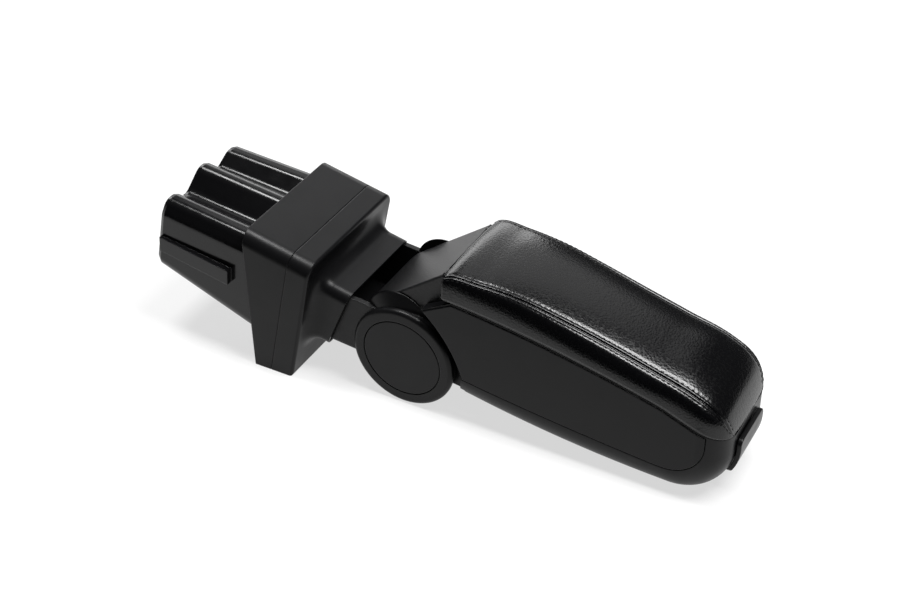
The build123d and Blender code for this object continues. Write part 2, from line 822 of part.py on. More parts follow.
# Lid frame, pad and hinge knuckles
lid_front = arm_front
lid_frame = both(lid_band(lid_gap, lid_gap + lid_plate, lid_rear, lid_front), arm_half)
lid_frame &= arm_plan(lid_front_gap)
upstand_low = rim_rear[1] + lid_gap
lid_frame += block(
    lid_rear,
    lid_rear + lid_upstand,
    -lid_upstand_half,
    lid_upstand_half,
    upstand_low,
    lid_axis[1],
)
pad_low = lid_gap + lid_plate + pad_gap
pad_rear = lid_rear + lid_upstand + pad_gap
pad_start = (pad_rear, rim_z(pad_rear) + pad_low)
pad_lines = [Line(pad_start, (rim_join[0], rim_join[1] + pad_low))]
pad_lines += rim_edges(pad_low, arm_front + pad_nose_round)
pad_path = Plane.XZ * (Curve() + pad_lines)
pad_outline = make_face(
    [
        Line((-arm_half, 0), (arm_half, 0)),
        Line((arm_half, 0), (arm_half, pad_band)),
        Line((arm_half, pad_band), (pad_seam_half, pad_seam_height)),
        ThreePointArc(
            (pad_seam_half, pad_seam_height),
            (0, pad_seam_height + pad_crown),
            (-pad_seam_half, pad_seam_height),
        ),
        Line((-pad_seam_half, pad_seam_height), (-arm_half, pad_band)),
        Line((-arm_half, pad_band), (-arm_half, 0)),
    ]
)
path_dir = pad_path.edges().sort_by(Axis.X)[0] % 0
pad_frame = Plane(origin=(pad_start[0], 0, pad_start[1]), x_dir=(0, 1, 0), z_dir=path_dir)
lid_cushion = sweep(pad_frame * pad_outline, path=pad_path)
lid_cushion &= arm_plan(0.0)
pad_top = pad_low + pad_seam_height + pad_crown
pad_side = lid_band(pad_low - 1, pad_top + 1, rim_rear[0], arm_front - pad_nose_drop)
nose_corner = max(pad_side.vertices(), key=lambda vertex: vertex.X + vertex.Y / far)
pad_side = fillet(nose_corner, pad_nose_round)
lid_cushion &= both(pad_side, arm_half) + block(rim_rear[0] - 1, pad_nose_start, -far, far, 0, far)

lid_screw_spots = []
for x in lid_screw_x:
    for y in (-lid_screw_y, lid_screw_y):
        lid_screw_spots.append(Pos(x, y, rim_z(x) + lid_gap - lid_screw_gap) * Rot(0, rim_slope(x), 0))
lid_screw = Pos(0, 0, lid_screw_length / 2) * Cylinder(lid_screw_radius, lid_screw_length)
lid_screw += Pos(0, 0, -lid_screw_head_thick / 2) * Cylinder(lid_screw_head, lid_screw_head_thick)
lid_screw_hole = Cylinder(lid_screw_radius + seat_play, 3 * lid_screw_length)
lid_screw_hole &= block(-far, far, -far, far, -lid_screw_length, lid_screw_length + seat_play)
lid_screws = [spot * lid_screw for spot in lid_screw_spots]
for spot in lid_screw_spots:
    lid_frame -= spot * lid_screw_hole
    lid_cushion -= spot * lid_screw_hole

lid_hinge_pins = []
clear_radius = knuckle_radius + knuckle_clear
for side in (-1, 1):
    near, end = sorted((side * hood_knuckle[0], side * hood_knuckle[1]))
    hood_eye = barrel(knuckle_radius, near, end, lid_axis)
    hood_eye += block(
        hood_front - hood_front_wall,
        lid_axis[0],
        near,
        end,
        lid_axis[1] - knuckle_radius,
        lid_axis[1] - knuckle_radius / 2,
    )
    hood_space = barrel(clear_radius, near - knuckle_side_gap, end + knuckle_side_gap, lid_axis)
    near, end = sorted((side * lid_knuckle[0], side * lid_knuckle[1]))
    lid_eye = barrel(knuckle_radius, near, end, lid_axis)
    eye_low = lid_axis[1] - knuckle_radius
    lid_eye += block(lid_axis[0], lid_rear + lid_upstand, near, end, eye_low, lid_axis[1])
    lid_space = barrel(clear_radius, near - knuckle_side_gap, end + knuckle_side_gap, lid_axis)
    rear_hood -= lid_space
    lid_frame -= hood_space
    lid_cushion -= hood_space
    lid_cushion -= lid_space
    rear_hood += hood_eye - lid_space
    lid_frame += lid_eye - hood_space
    near, end = sorted((side * hood_knuckle[0], side * lid_knuckle[1]))
    lid_hinge_pins.append(barrel(lid_pin_radius, near, end, lid_axis))
rear_hood -= barrel(lid_pin_radius + seat_play, -far, far, lid_axis)
lid_frame -= barrel(lid_pin_radius + running_play, -far, far, lid_axis)

# Latch window and bosses in the bin's front wall
window_deep = arm_front - latch_skin
storage_bin -= block(
    arm_front - 2 * arm_wall,
    far,
    -latch_window_half,
    latch_window_half,
    latch_window_low,
    latch_window_high,
)
storage_bin -= block(
    arm_front - 2 * arm_wall,
    window_deep,
    -latch_window_half,
    latch_window_half,
    latch_window_low,
    rim_rear[1],
)
for side in (-1, 1):
    near, end = sorted((side * latch_window_half, side * (latch_pin_half + 1)))
    wall_inner = arm_front - arm_wall
    storage_bin += block(wall_inner - boss_depth, wall_inner + 1, near, end, boss_low, boss_high)
storage_bin -= barrel(latch_pin_radius + seat_play, -latch_pin_half, latch_pin_half, latch_axis)
latch_pin = barrel(latch_pin_radius, -latch_pin_half, latch_pin_half, latch_axis)

# Latch paddle, a plate that follows the nose, with its lever and hook
paddle_near = arm_front + paddle_gap
paddle_far = paddle_near + paddle_thick


def nose_side(reach):
    """Side-view face behind the nose line grown by a reach."""
    behind = Pos(nose_at[0], nose_at[1]) * Circle(nose_radius + reach)
    front = arm_front + reach
    return behind + polygon(nose_at, (front, nose_at[1]), (front, far), (nose_at[0], far))


def on_paddle_front(point):
    """Tell if a point lies on the rim of the paddle's outer face."""
    if point.Z > nose_at[1]:
        return abs(point.X - paddle_far) < 0.01
    return abs(math.dist((point.X, point.Z), nose_at) - nose_radius - paddle_gap - paddle_thick) < 0.01


paddle_plan = Pos(0, (paddle_low + paddle_high) / 2) * RectangleRounded(
    2 * paddle_half,
    paddle_high - paddle_low,
    paddle_corner,
)
paddle_frame = Plane(origin=(nose_at[0], 0, 0), x_dir=(0, 1, 0), z_dir=(1, 0, 0))
latch_paddle = extrude(paddle_frame * paddle_plan, amount=far)
latch_paddle &= both(nose_side(paddle_gap + paddle_thick), arm_half) - both(nose_side(paddle_gap), arm_half)
paddle_rim = edges_near(latch_paddle, on_paddle_front)
latch_paddle = fillet(paddle_rim, paddle_edge)
lever_half = latch_lever_half
latch_paddle += block(latch_axis[0], paddle_near + 1, -lever_half, lever_half, lever_low, lever_high)
latch_paddle += barrel(latch_hub_radius, -latch_lever_half, latch_lever_half, latch_axis)
hook_face = polygon(
    (hook_rear, lever_high),
    (latch_axis[0], lever_low),
    (latch_axis[0], latch_axis[1] + latch_hub_radius / 2),
    (hook_front, latch_axis[1] + latch_hub_radius),
    (hook_front, hook_nose_low),
    (hook_tip, hook_nose_low),
    (hook_front, hook_top),
    (hook_rear, hook_top),
)
latch_paddle += both(hook_face, latch_lever_half)
latch_paddle -= barrel(latch_pin_radius + running_play, -far, far, latch_axis)

spring_coil = Helix(spring_pitch, spring_pitch * spring_turns, spring_radius)
wire_frame = Plane(origin=spring_coil @ 0, z_dir=spring_coil % 0)
latch_spring = sweep(wire_frame * Circle(spring_wire), path=spring_coil)
spring_near = latch_lever_half + spring_gap + spring_wire
latch_spring = Pos(latch_axis[0], spring_near, latch_axis[1]) * Rot(-90, 0, 0) * latch_spring

# Lid catch
pad_line = lid_gap - pad_gap
catch_face = polygon(
    (catch_pad_rear, rim_z(catch_pad_rear) + pad_line),
    (catch_top_front, rim_z(catch_top_front) + pad_line),
    (catch_tab_front, catch_foot_low),
    (catch_foot_rear, catch_foot_low),
    (catch_foot_rear, catch_foot_high),
    (catch_tab_rear, catch_foot_high),
    (catch_top_rear, rim_z(catch_top_rear) + pad_line - catch_pad_thick),
    (catch_pad_rear, rim_z(catch_pad_rear) + pad_line - catch_pad_thick),
)
lid_catch = both(catch_face, catch_half)

# Pieces by node name
pieces = {
    "console_plug": console_plug,
    "base_collar": base_collar,
    "neck_cover": neck_cover,
    "hinge_bracket": hinge_bracket,
    "bracket_screws": bracket_screws,
    "hinge_cheek_left": hinge_cheek_left,
    "hinge_cheek_right": hinge_cheek_right,
    "hinge_ring_left": hinge_ring_left,
    "hinge_ring_right": hinge_ring_right,
    "hinge_cap_left": hinge_cap_left,
    "hinge_cap_right": hinge_cap_right,
    "hinge_axle": hinge_axle,
    "axle_nut": axle_nut,
    "spring_washer": spring_washer,
    "friction_washers": friction_washers,
    "storage_bin": storage_bin,
    "side_panel_left": side_panel_left,
    "side_panel_right": side_panel_right,
    "rear_hood": rear_hood,
    "hood_screws": hood_screws,
    "lid_hinge_pins": lid_hinge_pins,
    "latch_pin": latch_pin,
    "latch_spring": latch_spring,
    "lid_frame": lid_frame,
    "lid_cushion": lid_cushion,
    "lid_screws": lid_screws,
    "lid_catch": lid_catch,
    "latch_paddle": latch_paddle,
}

# Centre the whole on x, stand it on the table and write each node
rear_reach = console_plug.bounding_box().min.X
front_reach = latch_paddle.bounding_box().max.X
stand = Pos(-(rear_reach + front_reach) / 2, 0, axle_height)
for name, piece in pieces.items():
    solids = piece if isinstance(piece, list) else [piece]
    moved = [stand * solid for solid in solids]
    shape = moved[0] if len(moved) == 1 else Compound(children=moved)
    export_step(shape, "parts/" + name + ".step")
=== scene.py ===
"""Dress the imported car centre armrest: its soft lid pad, stitches, finishes, stage and camera.

Lengths in the size classes are millimetres from the hinge axle, x towards the arm's front and z up.
"""

import json
import logging
import math
from dataclasses import dataclass
from enum import Enum
from typing import Any, Iterable, Sequence

import bpy
import numpy as np
from bpy.types import ID, Material, Node, NodeSocket, NodeTree, Object, World
from mathutils import Matrix, Vector


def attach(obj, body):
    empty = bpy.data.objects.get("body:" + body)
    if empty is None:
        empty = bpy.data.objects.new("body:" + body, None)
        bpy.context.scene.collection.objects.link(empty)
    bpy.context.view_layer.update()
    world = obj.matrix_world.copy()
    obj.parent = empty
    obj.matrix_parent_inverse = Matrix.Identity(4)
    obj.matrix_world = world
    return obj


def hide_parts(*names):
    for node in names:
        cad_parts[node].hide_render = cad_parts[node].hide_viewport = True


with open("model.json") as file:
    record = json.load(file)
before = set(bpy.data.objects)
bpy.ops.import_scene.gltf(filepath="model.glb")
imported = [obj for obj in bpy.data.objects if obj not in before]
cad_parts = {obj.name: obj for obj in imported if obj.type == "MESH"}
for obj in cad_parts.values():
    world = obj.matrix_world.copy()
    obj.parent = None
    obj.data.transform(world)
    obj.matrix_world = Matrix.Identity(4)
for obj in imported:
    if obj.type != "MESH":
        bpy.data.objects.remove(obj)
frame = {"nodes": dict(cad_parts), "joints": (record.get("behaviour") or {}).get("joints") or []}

MM = 0.001
# Least step of a line that counts, and least divisor elsewhere.
LEAST_STEP = 1e-6
LEAST = 1e-9
# Turns a point to the other side of the armrest's middle.
MIRROR = np.array([1.0, -1.0, 1.0])
# Rays that a softened corner casts in a material.
CORNER_SAMPLES = 6
# Places of the share, the two colours and the result in a colour mix node.
MIX_SHARE, MIX_FROM, MIX_TO, MIX_RESULT = 0, 6, 7, 2
# Points and outward directions along one row of stitches.
Row = tuple[np.ndarray, np.ndarray]
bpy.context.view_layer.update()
AXLE = Vector(next(joint["pos_m"] for joint in frame["joints"] if joint["name"] == "arm_hinge"))
log = logging.getLogger("armrest")


class Body(Enum):
    """The moving groups of the armrest."""

    BASE = "base"
    ARM = "arm"
    LID = "lid"
    LATCH = "latch"


def place(points: np.ndarray) -> np.ndarray:
    """Turn millimetres from the axle to metres in the shared frame."""
    return np.asarray(points, float) * MM + np.array(AXLE)


def linear(colour: str) -> tuple[float, float, float, float]:
    """Turn an sRGB hex value to a linear colour by the standard's curve.

    Args:
        colour: Six hex digits after a hash.

    Returns:
        Red, green, blue and full alpha.
    """
    parts = [int(colour[start:start + 2], 16) / 255 for start in (1, 3, 5)]
    red, green, blue = (
        part / 12.92 if part <= 0.04045 else ((part + 0.055) / 1.055) ** 2.4 for part in parts
    )
    return red, green, blue, 1.0


def per_metre(size: float) -> float:
    """Texture scale that gives one cell for each size in millimetres."""
    return 1.0 / (size * MM)


def add_node(
    tree: NodeTree,
    kind: str,
    settings: dict[str, Any] | None = None,
    feeds: dict[str | int, Any] | None = None,
) -> Node:
    """Add a node to a tree, set its options and feed its inputs.

    Args:
        tree: The tree that takes the node.
        kind: The node's type name.
        settings: Options of the node by name.
        feeds: Inputs by name or place, each a value or a socket to link from.

    Returns:
        The new node.
    """
    node = tree.nodes.new(kind)
    for name, value in (settings or {}).items():
        setattr(node, name, value)
    for name, value in (feeds or {}).items():
        if isinstance(value, NodeSocket):
            tree.links.new(value, node.inputs[name])
        else:
            node.inputs[name].default_value = value
    return node


def blank_tree(owner: Material | World) -> NodeTree:
    """Give a material or a world an empty node tree.

    Args:
        owner: The material or world.

    Returns:
        Its tree.
    """
    owner.use_nodes = True
    owner.node_tree.nodes.clear()
    return owner.node_tree


def add_object(name: str, data: ID) -> Object:
    """Make an object and link it to the scene.

    Args:
        name: The object's name.
        data: Its mesh, lamp or camera.

    Returns:
        The object at the origin.
    """
    made = bpy.data.objects.new(name, data)
    bpy.context.scene.collection.objects.link(made)
    return made


def smooth_line(points: np.ndarray, at: np.ndarray) -> np.ndarray:
    """Cubic line through points, read at shares of its length.

    Args:
        points: The points in order, one row each.
        at: Shares from 0 to 1.

    Returns:
        One row for each share.
    """
    step = np.maximum(np.linalg.norm(np.diff(points, axis=0), axis=1), LEAST_STEP)
    knots = np.concatenate(([0.0], np.cumsum(step)))
    knots /= knots[-1]
    slopes = np.gradient(points, knots, axis=0)
    spot = np.clip(np.searchsorted(knots, at, side="right") - 1, 0, len(knots) - 2)
    width = (knots[spot + 1] - knots[spot])[:, None]
    t = (at - knots[spot])[:, None] / width
    start = (1 + 2 * t) * (1 - t) ** 2 * points[spot] + t * (1 - t) ** 2 * width * slopes[spot]
    end = t**2 * (3 - 2 * t) * points[spot + 1] + t**2 * (t - 1) * width * slopes[spot + 1]
    return start + end


def line_length(points: np.ndarray) -> float:
    """Length of a line of points."""
    return float(np.linalg.norm(np.diff(points, axis=0), axis=1).sum())


def mesh_object(name: str, points: np.ndarray, faces: Sequence[Sequence[int]]) -> Object:
    """Make a smooth-shaded mesh object from points in the shared frame.

    Args:
        name: The piece's name.
        points: Corner points in metres.
        faces: Corner numbers of each face.

    Returns:
        The object, linked to the scene at the origin.
    """
    mesh = bpy.data.meshes.new(name)
    mesh.from_pydata([tuple(point) for point in points], [], [tuple(face) for face in faces])
    mesh.polygons.foreach_set("use_smooth", [True] * len(mesh.polygons))
    mesh.update()
    return add_object(name, mesh)


# Finishes


@dataclass(frozen=True)
class Finish:
    """A surface, named for what it is made of and how it was made.

    Attributes:
        name: The material's common name.
        colour: sRGB hex value.
        roughness: Roughness of the clean surface.
        specular: Strength of the mirror part, half for a plain plastic and less where fine texture
            swallows it.
        metallic: Share of metal.
    """

    name: str
    colour: str
    roughness: float
    specular: float = 0.5
    metallic: float = 0.0

    def build(self) -> Material:
        """Make the material with its pattern.

        Returns:
            The material.
        """
        material = bpy.data.materials.new(self.name)
        tree = blank_tree(material)
        feeds = {
            "Base Color": linear(self.colour),
            "Roughness": self.roughness,
            "Specular IOR Level": self.specular,
            "Metallic": self.metallic,
        }
        shader = add_node(tree, "ShaderNodeBsdfPrincipled", feeds=feeds)
        add_node(tree, "ShaderNodeOutputMaterial", feeds={"Surface": shader.outputs["BSDF"]})
        spot = add_node(tree, "ShaderNodeTexCoord").outputs["Object"]
        for name, socket in self.pattern(tree, spot).items():
            tree.links.new(socket, shader.inputs[name])
        return material

    def pattern(self, tree: NodeTree, spot: NodeSocket) -> dict[str, NodeSocket]:
        """Add the surface's own detail.

        Args:
            tree: The material's tree.
            spot: Object coordinates in metres.

        Returns:
            What feeds the shader, by input.
        """
        raise NotImplementedError


@dataclass(frozen=True)
class MouldedPlastic(Finish):
    """Injection moulded plastic: a fine tool grain, slow sink waves and softened corners.

    Attributes:
        grain: Width of the tool grain in millimetres.
        grain_depth: Depth of the grain in millimetres.
        wave: Width of the sink waves in millimetres.
        wave_depth: Depth of the waves in millimetres.
        corner: Radius of a softened corner in millimetres.
        smear: How much handling marks change the roughness.
        mark_share: Width of the handling marks as a share of the waves.
        mark_span: Values of the marks' noise between which the roughness changes.
    """

    grain: float = 0.8
    grain_depth: float = 0.012
    wave: float = 30.0
    wave_depth: float = 0.03
    corner: float = 0.9
    smear: float = 0.05
    mark_share: float = 0.7
    mark_span: tuple[float, float] = (0.3, 0.7)

    def pattern(self, tree: NodeTree, spot: NodeSocket) -> dict[str, NodeSocket]:
        """Add grain, waves, soft corners and handling marks.

        Args:
            tree: The material's tree.
            spot: Object coordinates in metres.

        Returns:
            What feeds the shader, by input.
        """
        settings = {"samples": CORNER_SAMPLES}
        corner = add_node(tree, "ShaderNodeBevel", settings, {"Radius": self.corner * MM})
        feeds = {"Vector": spot, "Scale": per_metre(self.wave), "Detail": 1.0}
        wave = add_node(tree, "ShaderNodeTexNoise", feeds=feeds)
        feeds = {"Height": wave.outputs[0], "Distance": self.wave_depth * MM, "Normal": corner.outputs[0]}
        slow = add_node(tree, "ShaderNodeBump", feeds=feeds)
        feeds = {"Vector": spot, "Scale": per_metre(self.grain), "Detail": 2.0}
        grain = add_node(tree, "ShaderNodeTexNoise", feeds=feeds)
        feeds = {"Height": grain.outputs[0], "Distance": self.grain_depth * MM, "Normal": slow.outputs[0]}
        fine = add_node(tree, "ShaderNodeBump", feeds=feeds)
        width = self.wave * self.mark_share
        feeds = {"Vector": spot, "Scale": per_metre(width), "Detail": 4.0, "Roughness": 0.6}
        marks = add_node(tree, "ShaderNodeTexNoise", feeds=feeds)
        feeds = {
            "Value": marks.outputs[0],
            "From Min": self.mark_span[0],
            "From Max": self.mark_span[1],
            "To Min": self.roughness - self.smear,
            "To Max": self.roughness + self.smear,
        }
        rough = add_node(tree, "ShaderNodeMapRange", feeds=feeds)
        return {"Roughness": rough.outputs[0], "Normal": fine.outputs[0]}


@dataclass(frozen=True)
class GrainedPlastic(Finish):
    """Moulded plastic from an etched tool: a leather-like pebble that breaks up the light.

    Attributes:
        pebble: Width of one pebble in millimetres.
        depth: Depth between pebbles in millimetres.
        corner: Radius of a softened corner in millimetres.
    """

    pebble: float = 1.2
    depth: float = 0.12
    corner: float = 0.6

    def pattern(self, tree: NodeTree, spot: NodeSocket) -> dict[str, NodeSocket]:
        """Add the etched pebble.

        Args:
            tree: The material's tree.
            spot: Object coordinates in metres.

        Returns:
            What feeds the shader, by input.
        """
        settings = {"samples": CORNER_SAMPLES}
        corner = add_node(tree, "ShaderNodeBevel", settings, {"Radius": self.corner * MM})
        settings = {"feature": "SMOOTH_F1"}
        feeds = {"Vector": spot, "Scale": per_metre(self.pebble), "Smoothness": 0.4}
        pebble = add_node(tree, "ShaderNodeTexVoronoi", settings, feeds)
        feeds = {
            "Height": pebble.outputs["Distance"],
            "Distance": self.depth * MM,
            "Normal": corner.outputs[0],
        }
        bump = add_node(tree, "ShaderNodeBump", {"invert": True}, feeds)
        return {"Normal": bump.outputs[0]}


@dataclass(frozen=True)
class Leather(Finish):
    """Coated leather: pressed pebbles with polished tops and dull creases, and shade painted darker into
    the creases.

    Attributes:
        crease_shade: sRGB hex value of the shade painted into the creases.
        pebble: Width of one pebble in millimetres.
        depth: Depth between pebbles in millimetres.
        crease: Width of the fine creases in millimetres.
        crease_depth: Depth of the fine creases in millimetres.
        drift: Width of the drift that makes the pebbles uneven, in pebbles.
        dull: Roughness that the creases add.
        polish_span: Distances from a pebble's top between which its polish fades, in pebbles.
        shade_span: Distances from a pebble's top between which the painted crease shade darkens its
            colour, in pebbles.
    """

    crease_shade: str = "#040405"
    pebble: float = 1.6
    depth: float = 0.08
    crease: float = 0.6
    crease_depth: float = 0.02
    drift: float = 2.0
    dull: float = 0.14
    polish_span: tuple[float, float] = (0.15, 0.75)
    shade_span: tuple[float, float] = (0.3, 0.8)

    def pattern(self, tree: NodeTree, spot: NodeSocket) -> dict[str, NodeSocket]:
        """Add pebbles, creases, the polish on the pebble tops and the shade painted into the creases.

        Args:
            tree: The material's tree.
            spot: Object coordinates in metres.

        Returns:
            What feeds the shader, by input.
        """
        feeds = {"Vector": spot, "Scale": per_metre(self.pebble * self.drift), "Detail": 2.0}
        drift = add_node(tree, "ShaderNodeTexNoise", feeds=feeds)
        settings = {"operation": "MULTIPLY_ADD"}
        feeds = {0: drift.outputs["Color"], 1: (self.pebble * MM,) * 3, 2: spot}
        warped = add_node(tree, "ShaderNodeVectorMath", settings, feeds)
        settings = {"feature": "SMOOTH_F1"}
        feeds = {"Vector": warped.outputs[0], "Scale": per_metre(self.pebble), "Smoothness": 0.35}
        pebble = add_node(tree, "ShaderNodeTexVoronoi", settings, feeds)
        feeds = {"Vector": spot, "Scale": per_metre(self.crease), "Detail": 3.0, "Roughness": 0.6}
        crease = add_node(tree, "ShaderNodeTexNoise", feeds=feeds)
        feeds = {"Height": pebble.outputs["Distance"], "Distance": self.depth * MM}
        bumps = add_node(tree, "ShaderNodeBump", {"invert": True}, feeds)
        feeds = {
            "Height": crease.outputs[0],
            "Distance": self.crease_depth * MM,
            "Normal": bumps.outputs[0],
        }
        skin = add_node(tree, "ShaderNodeBump", feeds=feeds)
        feeds = {
            "Value": pebble.outputs["Distance"],
            "From Min": self.polish_span[0],
            "From Max": self.polish_span[1],
            "To Min": self.roughness,
            "To Max": self.roughness + self.dull,
        }
        rough = add_node(tree, "ShaderNodeMapRange", feeds=feeds)
        # Painted shade: the colour darkens from each pebble's top into the creases, where shade would
        # fall.
        feeds = {
            "Value": pebble.outputs["Distance"],
            "From Min": self.shade_span[0],
            "From Max": self.shade_span[1],
        }
        shade = add_node(tree, "ShaderNodeMapRange", feeds=feeds)
        settings = {"data_type": "RGBA"}
        feeds = {
            MIX_SHARE: shade.outputs[0],
            MIX_FROM: linear(self.colour),
            MIX_TO: linear(self.crease_shade),
        }
        tone = add_node(tree, "ShaderNodeMix", settings, feeds)
        return {
            "Base Color": tone.outputs[MIX_RESULT],
            "Roughness": rough.outputs[0],
            "Normal": skin.outputs[0],
        }


@dataclass(frozen=True)
class TwistedThread(Finish):
    """Polyester sewing thread: dull, with slanting strands.

    Attributes:
        strand: Width of one strand in millimetres.
        depth: Depth between strands in millimetres.
        slant: Turn of the strands, in radians.
    """

    strand: float = 0.5
    depth: float = 0.08
    slant: tuple[float, float, float] = (0.5, 0.4, 0.7)

    def pattern(self, tree: NodeTree, spot: NodeSocket) -> dict[str, NodeSocket]:
        """Add the slanting strands.

        Args:
            tree: The material's tree.
            spot: Object coordinates in metres.

        Returns:
            What feeds the shader, by input.
        """
        feeds = {"Vector": spot, "Rotation": self.slant}
        turned = add_node(tree, "ShaderNodeMapping", feeds=feeds)
        scale = per_metre(self.strand) / (2 * math.pi)
        feeds = {"Vector": turned.outputs[0], "Scale": scale, "Distortion": 0.5}
        strands = add_node(tree, "ShaderNodeTexWave", feeds=feeds)
        feeds = {"Height": strands.outputs["Fac"], "Distance": self.depth * MM}
        bump = add_node(tree, "ShaderNodeBump", feeds=feeds)
        return {"Normal": bump.outputs[0]}


@dataclass(frozen=True)
class PlatedSteel(Finish):
    """Zinc plated steel: metal with faint patches in its plating.

    Attributes:
        metallic: Share of metal, here all of it.
        patch: Width of a plating patch in millimetres.
        uneven: How much the patches change the roughness.
    """

    metallic: float = 1.0
    patch: float = 3.0
    uneven: float = 0.08

    def pattern(self, tree: NodeTree, spot: NodeSocket) -> dict[str, NodeSocket]:
        """Add the plating patches.

        Args:
            tree: The material's tree.
            spot: Object coordinates in metres.

        Returns:
            What feeds the shader, by input.
        """
        feeds = {"Vector": spot, "Scale": per_metre(self.patch), "Detail": 3.0}
        patches = add_node(tree, "ShaderNodeTexNoise", feeds=feeds)
        feeds = {
            "Value": patches.outputs[0],
            "To Min": self.roughness - self.uneven,
            "To Max": self.roughness + self.uneven,
        }
        rough = add_node(tree, "ShaderNodeMapRange", feeds=feeds)
        return {"Roughness": rough.outputs[0]}


# Black ABS from a spark-eroded tool: even and satin, with soft broad highlights.
# The real grain is about 0.2 mm wide, and is drawn coarser so that it shows at the picture's scale.
SATIN_ABS = MouldedPlastic("satin_moulded_abs", "#0c0c0d", 0.34, 0.17)
# Black ABS from a polished tool: sharp streaks of light that waver with the sink of the wall.
GLOSS_ABS = MouldedPlastic(
    "polished_moulded_abs", "#0a0a0b", 0.18, 0.25,
    grain=1.2, grain_depth=0.004, wave=16.0, wave_depth=0.1,
)
# Black polypropylene from an etched tool: a fine pebble that sparkles in the light.
# The real pebble is about 0.6 mm wide, and is drawn coarser so that it shows.
ETCHED_POLYPROPYLENE = GrainedPlastic("etched_moulded_polypropylene", "#101011", 0.38, 0.26)
# Black coated leather: glossy pebble tops over dull creases, with shade painted darker into the creases.
# The real pebble is about 1.2 mm wide, and is drawn coarser so that it shows.
PAD_LEATHER = Leather("black_coated_leather", "#050506", 0.15, 0.35)
# Black polyester thread: dull dashes that read darker than the polished leather beside them.
SEAM_THREAD = TwistedThread("black_polyester_thread", "#060607", 0.7, 0.15)
# Black powder coat on pressed steel: a fine orange peel and a soft sheen.
POWDER_COAT = MouldedPlastic(
    "black_powder_coated_steel", "#0e0e0f", 0.4, 0.2,
    grain=1.0, grain_depth=0.03, wave=12.0, wave_depth=0.02,
)
# Zinc plated steel for the screws, pins, axle and springs: a small pale glint where a gap shows it.
ZINC_STEEL = PlatedSteel("zinc_plated_steel", "#a9abad", 0.32)
# White acetal washers with the dull gloss of a bearing plastic.
WHITE_ACETAL = MouldedPlastic("white_acetal", "#d8d6cf", 0.35, grain_depth=0.005)


class Wardrobe:
    """Builds each finish once and puts it on pieces."""

    def __init__(self) -> None:
        """Start with no material built."""
        self.built: dict[Finish, Material] = {}

    def material(self, finish: Finish) -> Material:
        """Give the material of a finish, built at its first use.

        Args:
            finish: The finish.

        Returns:
            Its material.
        """
        if finish not in self.built:
            self.built[finish] = finish.build()
        return self.built[finish]

    def wear(self, piece: Object, finish: Finish) -> None:
        """Put a finish on a whole piece."""
        piece.data.materials.clear()
        piece.data.materials.append(self.material(finish))

    def dress(self, body: Body, finishes: dict[Finish, Iterable[str]]) -> None:
        """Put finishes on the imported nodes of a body.

        Args:
            body: The body that the nodes belong to.
            finishes: Each finish with the names of the nodes that wear it.
        """
        for finish, nodes in finishes.items():
            for node in nodes:
                self.wear(frame["nodes"][node], finish)
                log.info("%s node %s wears %s", body.value, node, finish.name)


# Base and hinge


@dataclass
class Base:
    """Console plug, collar, neck and the friction hinge that carries the arm."""

    plug: tuple[str, ...] = ("console_plug",)
    shells: tuple[str, ...] = ("base_collar", "neck_cover")
    hinge_trim: tuple[str, ...] = (
        "hinge_cheek_left",
        "hinge_cheek_right",
        "hinge_ring_left",
        "hinge_ring_right",
        "hinge_cap_left",
        "hinge_cap_right",
    )
    bracket: tuple[str, ...] = ("hinge_bracket",)
    hardware: tuple[str, ...] = ("bracket_screws", "hinge_axle", "axle_nut", "spring_washer")
    washers: tuple[str, ...] = ("friction_washers",)

    def dress(self, wardrobe: Wardrobe) -> None:
        """Put the finishes on the base's nodes.

        Args:
            wardrobe: The finishes' materials.
        """
        finishes = {
            GLOSS_ABS: self.plug,
            SATIN_ABS: self.shells + self.hinge_trim,
            POWDER_COAT: self.bracket,
            ZINC_STEEL: self.hardware,
            WHITE_ACETAL: self.washers,
        }
        wardrobe.dress(Body.BASE, finishes)


# Arm


@dataclass
class Arm:
    """Storage bin with its side panels and the hood over the hinge barrel."""

    shells: tuple[str, ...] = ("storage_bin", "side_panel_left", "side_panel_right")
    hood: tuple[str, ...] = ("rear_hood",)
    hardware: tuple[str, ...] = ("hood_screws", "latch_pin", "latch_spring")

    def dress(self, wardrobe: Wardrobe) -> None:
        """Put the finishes on the arm's nodes.

        Args:
            wardrobe: The finishes' materials.
        """
        finishes = {
            SATIN_ABS: self.shells,
            ETCHED_POLYPROPYLENE: self.hood,
            ZINC_STEEL: self.hardware,
        }
        wardrobe.dress(Body.ARM, finishes)


# Latch


@dataclass
class Latch:
    """The paddle that frees the lid."""

    paddle: tuple[str, ...] = ("latch_paddle",)

    def dress(self, wardrobe: Wardrobe) -> None:
        """Put the finish on the paddle."""
        wardrobe.dress(Body.LATCH, {SATIN_ABS: self.paddle})


# Lid


